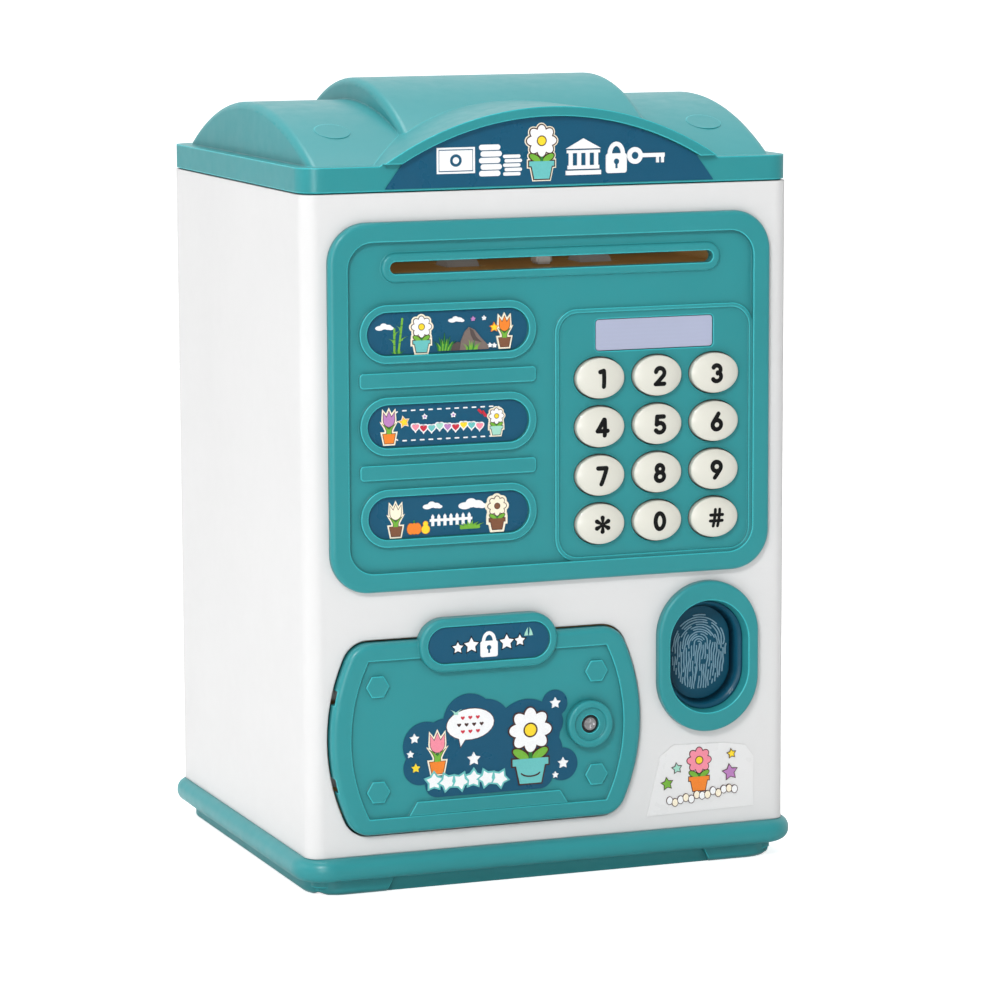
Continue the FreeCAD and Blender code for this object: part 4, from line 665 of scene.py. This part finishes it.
def badge_prints():
    """Three small garden scenes."""
    art = Print("badge_top_print", "badge_top")
    ground = -4.7
    foot = ground + 0.1
    cloud(art, -16.2, 1.5, 1.5)
    for x, lean, tall in ((-13.9, 0, 5.8), (-12.8, 1, 8.2)):
        art.stroke("green", [(x + lean * t, foot + tall * t) for t in (0, 0.5, 1)], 0.26)
        for joint in (0.3, 0.55, 0.8):
            middle, height = x + lean * joint, foot + tall * joint
            art.fill("leaf", box(middle - 0.34, middle + 0.34, height - 0.09, height + 0.09))
    for x, z, lean in ((-14, -2.2, -1.6), (-13.9, -0.4, 1.5), (-12.2, -1.8, 1.9), (-12.2, 0.8, -1.2)):
        art.fill("green", blade(x, z, lean, 1.1, 0.8))
    grass(art, -13.2, -4.9, 3.6, 1.3, 5)
    flower_pot(art, -6.9, -0.4, 4.4)
    grass(art, -0.9, ground, 5, 4.4, 9)
    cloud(art, 2.4, 2.7, 1.3)
    art.fill("stone", [(0.6, ground), (1.2, -3.2), (2.6, -2.6), (4, -3.1), (4.9, ground)])
    art.fill("rock", [(3, ground), (3.4, -2.4), (4.4, -0.2), (5.5, 0.9), (7, 0.2), (8.6, -1.8),
                      (10.2, -3.4), (10.7, ground)])
    art.fill("stone", [(5.6, 0.7), (6.6, 0.1), (7.4, -1.6), (8.9, -3), (6.6, -2.4), (5.9, -1)])
    grass(art, 6.2, ground, 4.2, 3.1, 7, ("green", "leaf", "green"))
    for x, z in ((6.6, 2.9), (9.5, 3), (11, -3.8), (12.2, -3.9)):
        art.fill("lilac" if x < 8 else "white", star(x, z, 0.65, inner=0.6))
    tulip(art, 14.8, -0.5, 3.8)
    art.outlined([("yellow", star(12.1, 0.6, 1))], line=0.15, edge="orange")
    art.finish()

    art = Print("badge_middle_print", "badge_middle")
    for row in (1, -1):
        for step in range(11):
            x = -11.4 + step * 2.28
            art.stroke("white", [(x - 0.45, row * 3.7), (x + 0.45, row * 3.7)], 0.17)
        for side in (1, -1):
            art.stroke("white", [(side * 13.3, row * 3.5), (side * 14.1, row * 3)], 0.17)
    tulip(art, -15.5, -0.2, 4, petals="lilac", pot="orange")
    art.outlined([("yellow", star(-11.6, 0.9, 1.1, 12))], halo=0.15, line=0.12, edge="orange")
    hearts = ("pink", "red", "teal", "mint", "lilac", "red", "yellow", "teal", "pink")
    for step, name in enumerate(hearts):
        shape = heart(-8.6 + step * 2.1, -0.7 + 0.25 * math.cos(step * 2), 0.95)
        art.outlined([(name, shape)], line=0.28, edge="white")
    for x, z in ((-6.2, 2), (1.3, 2.1)):
        art.fill("white", star(x, z, 0.75, inner=0.62))
        art.fill("lilac", oval(x, z, 0.3))
    art.stroke("red", [(8.1, 2.9), (8.8, 2.2), (9, 2.6), (9.8, 1.5)], 0.35)
    flower_pot(art, 12.6, -0.1, 3.3, pot="mint", halo=0.3, line=0.15)
    art.finish()

    art = Print("badge_bottom_print", "badge_bottom")
    tulip(art, -13.9, -0.6, 4, petals="cream", pot="brown")
    pumpkin = [("orange", oval(x, -3, 0.95, 1.4)) for x in (-10, -8.2, -9.1)]
    art.outlined(pumpkin, line=0.1, edge="brown")
    art.fill("leaf", box(-9.3, -8.9, -1.6, -0.9))
    gourd = [("yellow", oval(-6.1, -3.3, 1.05)), ("yellow", oval(-6.1, -1.9, 0.6))]
    art.outlined(gourd, line=0.1, edge="orange")
    for step in range(7):
        x = -4.2 + step * 1.6
        left, right = x - 0.38, x + 0.38
        art.fill("white", [(left, -2.6), (right, -2.6), (right, -0.2), (x, 0.35), (left, -0.2)])
    art.fill("white", box(-5, 6.2, -1.5, -0.85))
    cloud(art, -4, 2.3, 1.6)
    cloud(art, 6.6, 2, 2.3)
    grass(art, 5.6, -3.5, 6.4, 1.9, 11, ("green",))
    art.fill("green", round_box(2.9, 8.2, -3.8, -3, 0.3))
    flower_pot(art, 12.7, -0.2, 4.1, petals="cream", eye="brown", pot="brown", halo=0.55)
    art.finish()


def tag_print():
    """A padlock and stars on the door's name tag."""
    art = Print("tag_print", "tag_plate")
    padlock(art, 0, -0.1, 3.5)
    for x, z, radius in ((-4.7, -0.4, 2), (4.7, -0.2, 2), (-8.3, -0.8, 1.5), (8.2, 0, 1.5)):
        art.outlined([("white", star(x, z, radius, inner=0.52))], line=0.25, edge="black")
    for x, lean in ((9.9, 0.5), (11.2, -0.4)):
        art.fill("mint", blade(x, 1.1, lean, 2.1, 1.1))
    art.finish()


def door_print():
    """A garden picture: potted flowers, a talk bubble full of hearts, and stars."""
    art = Print("door_print", "door_sticker")
    plate_x, plate_z = -17.9, 39.5

    def at(x, z):
        """A place measured from the middle of the door's plate."""
        return x + plate_x - art.middle.x / MM, z + plate_z - art.middle.z / MM

    x, z = at(-4.8, 2.1)
    bubble = oval(x, z, 6.3, 3.9, 4)
    tail = [(x - 3.2, z - 2.6), (x - 1.1, z - 3.4), (x - 2.6, z - 5.6)]
    art.outlined([("white", bubble), ("white", tail)])
    for row, (count, name) in enumerate(((3, "red"), (4, "line"), (3, "red"))):
        for step in range(count):
            art.fill(name, heart(x + (step - (count - 1) / 2) * 2, z + 1.7 - row * 1.75, 0.55))
    for side in (-1, 1):
        art.fill("mint", blade(x - 3.8, z + 2.6, side * 1.6, 1.4, 1.1))
    tulip(art, *at(-13.6, -4.6), 5.2, petals="pink", pot="orange")
    x, z = at(11.2, -4.6)
    flower_pot(art, x, z, 9.6, halo=0, line=0.35)
    art.stroke("line", arc(x, z - 6.6, 2.6, 1.2, 200, 340, 8), 0.18)
    for step in range(6):
        x, z = at(-14.6 + step * 3.5, -12 + 0.3 * math.cos(step * 1.9))
        shape = star(x, z, 2.1, turn=step * 23, inner=0.6)
        art.outlined([("white", shape)], line=0.42, edge="teal")
    for name, x, z, radius in (("white", -19.7, -0.5, 1.3), ("white", -20.8, -4.4, 1),
                               ("yellow", -19.4, -8, 1.2), ("white", -4, -6.8, 1.8),
                               ("white", 17.9, 5.8, 1.5), ("white", 20, -9.7, 1.5),
                               ("white", 17.9, -12.6, 0.9)):
        art.fill(name, star(*at(x, z), radius, inner=0.52))
    art.finish()


def front_print():
    """A potted flower, four stars and a garland on the white corner label."""
    art = Print("front_print", "front_label")
    flower_pot(art, -0.4, 2.2, 5.6, petals="pink", pot="orange", halo=0, line=0.22)
    for name, x, z, radius in (("green", -9.3, -0.9, 1.5), ("mint", -6.6, 2.9, 1.25),
                               ("yellow", 8.6, 5.6, 1.1), ("lilac", 8.2, 0.8, 2)):
        art.outlined([(name, star(x, z, radius, 8, inner=0.52))], line=0.18)
    for step in range(13):
        x = -8.6 + step * 1.5
        z = -4.6 + 0.14 * x + 0.45 * math.cos(step * 2.4)
        art.outlined([("cream" if step % 2 else "white", oval(x, z, 0.75, 0.95))], line=0.16)
    art.finish()


# ---------------------------------------------------------------- key numerals

GLYPHS = {
    "1": ([(-0.62, 1.72), (0.35, 1.98)], [(0.38, 1.98), (0.38, -2)]),
    "2": (arc(0, 0.85, 1.15, 1.15, 168, -36) + [(-1.05, -1.95)], [(-1.15, -2), (1.2, -2)]),
    "3": (arc(-0.05, 0.98, 1.02, 1.02, 150, -80), arc(-0.05, -0.88, 1.16, 1.12, 80, -150)),
    "4": ([(0.4, 1.95), (-1.35, -0.85)], [(-1.35, -0.85), (1.35, -0.85)], [(0.6, 1.95), (0.6, -2)]),
    "5": ([(-0.72, 2), (1.1, 2)], [(-0.75, 2), (-0.95, 0.1)], arc(-0.05, -0.78, 1.22, 1.22, 136, -150)),
    "6": ([(0.5, 2), (-0.95, -0.1)],),
    "7": ([(-1.15, 2), (1.1, 2)], [(1.12, 1.98), (-0.3, -2)]),
    "9": ([(-0.45, -2), (1, 0.2)],),
    "hash": ([(-0.85, -2.1), (-0.25, 2.1)], [(0.35, -2.1), (0.95, 2.1)], [(-1.6, 0.75), (1.7, 0.75)],
             [(-1.7, -0.75), (1.6, -0.75)]),
}
RINGS = {"6": ((0, -0.8, 1.16, 1.18),), "8": ((0, 1.06, 0.9, 0.92), (0, -0.92, 1.12, 1.1)),
         "9": ((0, 0.82, 1.15, 1.16),), "0": ((0, 0, 1.18, 1.98),)}


def front_of(node):
    """A function that gives y on the node's front face at any (x, z)."""
    data = frame["nodes"][node].data
    tree = BVHTree.FromPolygons([v.co for v in data.vertices], [p.vertices for p in data.polygons])
    ahead = -80 * MM
    return lambda x, z: tree.ray_cast(Vector((x, ahead, z)), Vector((0, 1, 0)))[0].y


def dense(path):
    """The path with more points, so that a stroke along it can follow a dome."""
    spacing = 0.5
    points = []
    for (x0, z0), (x1, z1) in zip(path, path[1:]):
        steps = max(1, round(math.hypot(x1 - x0, z1 - z0) / spacing))
        points += [(x0 + (x1 - x0) * i / steps, z0 + (z1 - z0) * i / steps) for i in range(steps)]
    return points + [path[-1]]


def key_numerals():
    """Bold black legends that follow each key's dome."""
    bold, light = 0.56, 0.4
    spoke_root, spoke_tip = 0.26, 0.58
    for name in KEY_NAMES:
        art = Print(f"legend_{name}", f"key_{name}", front_of(f"key_{name}"))
        half = light if name == "hash" else bold
        if name == "star":
            for turn in range(30, 390, 60):
                along = Vector((math.cos(math.radians(turn)), math.sin(math.radians(turn))))
                spoke = [along * reach for reach in (0.3, 0.8, 1.3, 1.75)]
                art.stroke("black", spoke, spoke_root, taper=spoke_tip)
        for path in GLYPHS.get(name, ()):
            art.stroke("black", dense(path), half)
        for x, z, wide, tall in RINGS.get(name, ()):
            art.stroke("black", arc(x, z, wide, tall, 0, 360, 32)[:-1], half, closed=True)
        art.finish("key_plastic")


def fingerprint():
    """A generic arch print: broken pale ridges that rise over a core and run down both sides."""
    rng = random.Random(7)
    half_wide, half_tall, pitch, core = 7.7, 9.8, 0.64, 2.2
    half, shortest, longest, gap = 0.145, 4, 12, 0.35
    art = Print("fingerprint_ridges", "fingerprint_pad")

    def inside(point):
        return (point[0] / half_wide) ** 2 + (point[1] / half_tall) ** 2 < 1

    lines = []
    depths = [0.5 * step for step in range(1, 25)]
    for ring in range(1, 13):
        reach = pitch * ring
        path = [(-reach * 1.02 - 0.05 * depth, core - depth) for depth in reversed(depths)]
        path += arc(0, core, reach, reach * 0.98, 180, 0, 6 + 2 * ring)
        path += [(reach * 0.98 - 0.055 * depth, core - depth) for depth in depths]
        lines.append(path)
    lines.append([(0.1 - 0.05 * step, core - 0.4 * step) for step in range(26)])
    for index, path in enumerate(lines):
        run, left = [], rng.uniform(shortest, longest)
        for (x, z), (nx, nz) in zip(path, path[1:]):
            wave = 0.12 * math.sin(0.9 * z + index) + 0.05 * math.sin(2.3 * z + 2 * index)
            left -= math.hypot(nx - x, nz - z)
            if inside((x + wave, z)) and left > 0:
                run.append((x + wave, z))
                continue
            if len(run) > 2:
                art.stroke("ridge", run, half)
            run = []
            if left < -gap:
                left = rng.uniform(shortest, longest)
        if len(run) > 2:
            art.stroke("ridge", run, half)
    art.finish()


def stadium_ring(half, straight, y, centre):
    """Points round an upright slot outline in the plane at y, in metres."""
    return [(centre.x + x, y, middle + z)
            for middle, start in ((centre.z + straight, 0), (centre.z - straight, 180))
            for x, z in arc(0, 0, half, half, start, start + 180, 16)]


def reader_liner():
    """The blue skin on the deeper half of the fingerprint reader's funnel."""
    bezel_rim, lip_deep, pad_flange, shorter = 3.5 * MM, 2.7 * MM, 2 * MM, 2 * MM
    air, skin = 0.35 * MM, 0.3 * MM
    low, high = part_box("fingerprint_bezel")
    pad_low, pad_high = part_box("fingerprint_pad")
    centre = (low + high) / 2
    outer = (high.x - low.x) / 2
    straight = (high.z - low.z) / 2 - outer - shorter
    wide, narrow = outer - bezel_rim, (pad_high.x - pad_low.x) / 2 - pad_flange - air
    front, back = low.y + lip_deep, pad_low.y - air
    corners = ((wide, front), (narrow, back), (narrow - skin, back), (wide - skin, front))
    mesh = bmesh.new()
    closed_band(mesh, [stadium_ring(half, straight, y, centre) for half, y in corners], smooth=True)
    piece_of(mesh, "reader_liner", "case", "blue_gloss")


def knob_recess_shade():
    """A black ring sunk round the screw in the middle of the door's knob: painted shade, a dark sheet
    where the recess round the screw lies in shade.
    """
    air, broad, thick, sunk, steps = 0.02 * MM, 0.68 * MM, 0.2 * MM, 0.7 * MM, 36
    low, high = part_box("knob_screw")
    centre = (low + high) / 2
    inner, front = (high.x - low.x) / 2 + air, low.y + sunk
    outer, back = inner + broad, front + thick
    rings = [[(x, y, z) for x, z in arc(centre.x, centre.z, half, half, 0, 360, steps)[:-1]]
             for half, y in ((outer, front), (outer, back), (inner, back), (inner, front))]
    mesh = bmesh.new()
    closed_band(mesh, rings, smooth=False)
    piece_of(mesh, "knob_recess_shade", frame["nodes"]["knob_screw"]["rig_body"], "dark_plastic")


# ---------------------------------------------------------------- small electronics

def bevelled_box(mesh, centre, size, round_by):
    """A box with rounded edges, added to a bmesh."""
    made = bmesh.ops.create_cube(mesh, size=1)["verts"]
    for vert in made:
        vert.co = Vector(centre) + Vector(part * length for part, length in zip(vert.co, size))
    edges = list({edge for vert in made for edge in vert.link_edges})
    bmesh.ops.bevel(mesh, geom=edges, offset=round_by, segments=2, affect="EDGES")


def turned_can(mesh, base, axis, radius, tall):
    """A small can with a rolled rim, standing on `base` along `axis`."""
    profile = ((radius, 0), (radius, 0.82 * tall), (0.93 * radius, 0.94 * tall), (0.8 * radius, tall))
    steps = 20
    along = Vector(axis)
    side = along.orthogonal().normalized()
    other = along.cross(side)
    rings = [[mesh.verts.new(Vector(base) + along * height + side * x + other * z)
              for x, z in arc(0, 0, reach, reach, 0, 360, steps)[:-1]] for reach, height in profile]
    for lower, upper in zip(rings, rings[1:]):
        for step in range(steps):
            mesh.faces.new((lower[step - 1], lower[step], upper[step], upper[step - 1]))
    mesh.faces.new(rings[0])
    mesh.faces.new(tuple(reversed(rings[-1])))


def main_board_parts():
    """Chips, their pins, resistors and cans on the inner face of the main board."""
    low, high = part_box("main_board")
    centre = (low + high) / 2

    def at(proud, y, z):
        """A place `proud` millimetres off the inner face, measured from the board's middle."""
        return low.x - proud * MM, centre.y + y * MM, centre.z + z * MM

    chip_z, pin_pitch, pin_reach = 4, 1.9, 4.7
    mesh = bmesh.new()
    for y, z, long, tall in ((0, chip_z, 14, 8), (-15, -10, 7, 5)):
        bevelled_box(mesh, at(1, y, z), (2 * MM, long * MM, tall * MM), 0.25 * MM)
    piece_of(mesh, "main_board_chips", "case", "dark_plastic")
    mesh = bmesh.new()
    for step in range(7):
        for side in (-1, 1):
            place = at(0.5, (step - 3) * pin_pitch, chip_z + side * pin_reach)
            bevelled_box(mesh, place, (0.9 * MM, 0.7 * MM, 1.3 * MM), 0.1 * MM)
    for step in range(5):
        bevelled_box(mesh, at(0.4, 12 + 2.4 * step, -12), (0.8 * MM, 1.2 * MM, 2.2 * MM), 0.12 * MM)
    piece_of(mesh, "main_board_pins", "case", "steel")
    mesh = bmesh.new()
    for y, z in ((18, 12), (18, 4), (-18, 14)):
        turned_can(mesh, at(0, y, z), (-1, 0, 0), 2.5 * MM, 5 * MM)
    piece_of(mesh, "main_board_cans", "case", "battery_wrap")


def note_sensor():
    """A white flag that hangs in the middle of the note path, under the feed's cover."""
    wide, deep, tall, below_cover = 4.2 * MM, 5 * MM, 3 * MM, 4.4 * MM
    x, y, top = 0.9 * MM, -45.5 * MM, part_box("feed_frame")[1].z - below_cover
    mesh = bmesh.new()
    bevelled_box(mesh, (x, y, top - tall / 2), (wide, deep, tall), 0.5 * MM)
    piece_of(mesh, "note_sensor_flag", "case", "white_plastic")


# ---------------------------------------------------------------- studio

def floor():
    """A pale floor just under the foot, clear from below so that the underside can be seen."""
    reach, below_foot = 30, -0.1 * MM
    front_edge, touching, camera_glow, cloud_size = -0.1, 2 * MM, 0.72, 0.4
    finish = Finish("studio_floor")
    tone = finish.mix(finish.spread(finish.noise(cloud_size), 0, 1), srgb(238, 238, 238),
                      srgb(242, 242, 242))
    path = finish.add("ShaderNodeLightPath")
    split = finish.add("ShaderNodeSeparateXYZ")
    finish.link(finish.place, split.inputs[0])
    in_front = finish.spread(split.outputs["Y"], 1, 0, front_edge, 0)
    mirrored = finish.maths("MULTIPLY", in_front, path.outputs["Is Glossy Ray"])
    calm = finish.mix(mirrored, tone, shade(srgb(228, 228, 228), 0.25))
    finish.give(Base_Color=calm, Roughness=0.9, Specular_IOR_Level=0.1, Emission_Color=(1, 1, 1, 1),
                Emission_Strength=finish.spread(path.outputs["Is Camera Ray"], 0, camera_glow, 0, 1))
    near = finish.maths("LESS_THAN", path.outputs["Ray Length"], touching)
    below = finish.add("ShaderNodeNewGeometry").outputs["Backfacing"]
    sides = finish.add("ShaderNodeMixShader")
    finish.link(finish.maths("MAXIMUM", near, below), sides.inputs[0])
    finish.link(finish.surface.outputs[0], sides.inputs[1])
    finish.link(finish.add("ShaderNodeBsdfTransparent").outputs[0], sides.inputs[2])
    finish.link(sides.outputs[0], finish.output.inputs["Surface"])
    mesh = bmesh.new()
    mesh.faces.new([mesh.verts.new((x * reach, y * reach, below_foot))
                    for x, y in ((-1, -1), (1, -1), (1, 1), (-1, 1))])
    piece = object_of(mesh, "studio_floor", [finish.material])


def lamp(name, place, aim, size, power):
    """A soft round lamp at a place, turned to an aim."""
    light = bpy.data.lights.new(name, "AREA")
    light.shape = "DISK"
    light.size = size
    light.energy = power
    holder = bpy.data.objects.new(name, light)
    bpy.context.scene.collection.objects.link(holder)
    holder.location = place
    holder.rotation_mode = "QUATERNION"
    holder.rotation_quaternion = (Vector(aim) - Vector(place)).to_track_quat("-Z", "Y")


def studio():
    """A white room with a dim camera side, so that front faces keep their colour, and soft lamps."""
    scene = bpy.context.scene
    scene.view_settings.view_transform = "Standard"
    world = bpy.data.worlds.new("studio_world")
    world.use_nodes = True
    tree = world.node_tree
    background = tree.nodes["Background"]
    background.inputs["Color"].default_value = (1, 1, 1, 1)
    way = tree.nodes.new("ShaderNodeTexCoord")
    split = tree.nodes.new("ShaderNodeSeparateXYZ")
    spread = tree.nodes.new("ShaderNodeMapRange")
    tree.links.new(way.outputs["Generated"], split.inputs[0])
    tree.links.new(split.outputs["Y"], spread.inputs["Value"])
    camera_side, far_side, dim, bright = -0.7, 0.5, 0.3, 0.9
    for name, value in (("From Min", camera_side), ("From Max", far_side), ("To Min", dim),
                        ("To Max", bright)):
        spread.inputs[name].default_value = value
    tree.links.new(spread.outputs["Result"], background.inputs["Strength"])
    scene.world = world
    aim = (0, 0, 0.1)
    lamp("lamp_front", (-0.85, -1.2, 1.1), aim, 0.4, 13.8)
    lamp("lamp_left", (-1.4, 0.2, 0.75), aim, 0.8, 1.9)
    lamp("lamp_low", (-0.7, -1.2, 0.12), (0, 0, 0.02), 0.5, 4.2)
    lamp("lamp_top", (0, 0.2, 1.5), aim, 0.9, 10)
    floor()


def camera():
    """The camera at the viewing angle: azimuth and elevation round the object, a small roll."""
    azimuth, elevation, roll = (math.radians(angle) for angle in (-20.951, 8.376, -0.216))
    distance, lens_mm = 1.10603, 152.12
    aim_height, aim_right, aim_down = 0.095, 0.006591, 0.005855
    back = Vector((math.sin(azimuth) * math.cos(elevation), -math.cos(azimuth) * math.cos(elevation),
                   math.sin(elevation)))
    right = Vector((math.cos(azimuth), math.sin(azimuth), 0))
    up = back.cross(right)
    aim = Vector((0, 0, aim_height)) + right * aim_right - up * aim_down
    data = bpy.data.cameras.new("camera")
    data.lens = lens_mm
    data.sensor_width = 36
    data.clip_start, data.clip_end = 0.05, 60
    holder = bpy.data.objects.new("camera", data)
    bpy.context.scene.collection.objects.link(holder)
    axis_x = right * math.cos(roll) + up * math.sin(roll)
    axis_y = up * math.cos(roll) - right * math.sin(roll)
    matrix = holder.matrix_world.copy()
    for row in range(3):
        matrix[row][0], matrix[row][1], matrix[row][2] = axis_x[row], axis_y[row], back[row]
        matrix[row][3] = (aim + back * distance)[row]
    holder.matrix_world = matrix
    bpy.context.scene.camera = holder


dress_frame()
sign_print()
badge_prints()
tag_print()
door_print()
front_print()
key_numerals()
fingerprint()
reader_liner()
knob_recess_shade()
main_board_parts()
note_sensor()
studio()
camera()
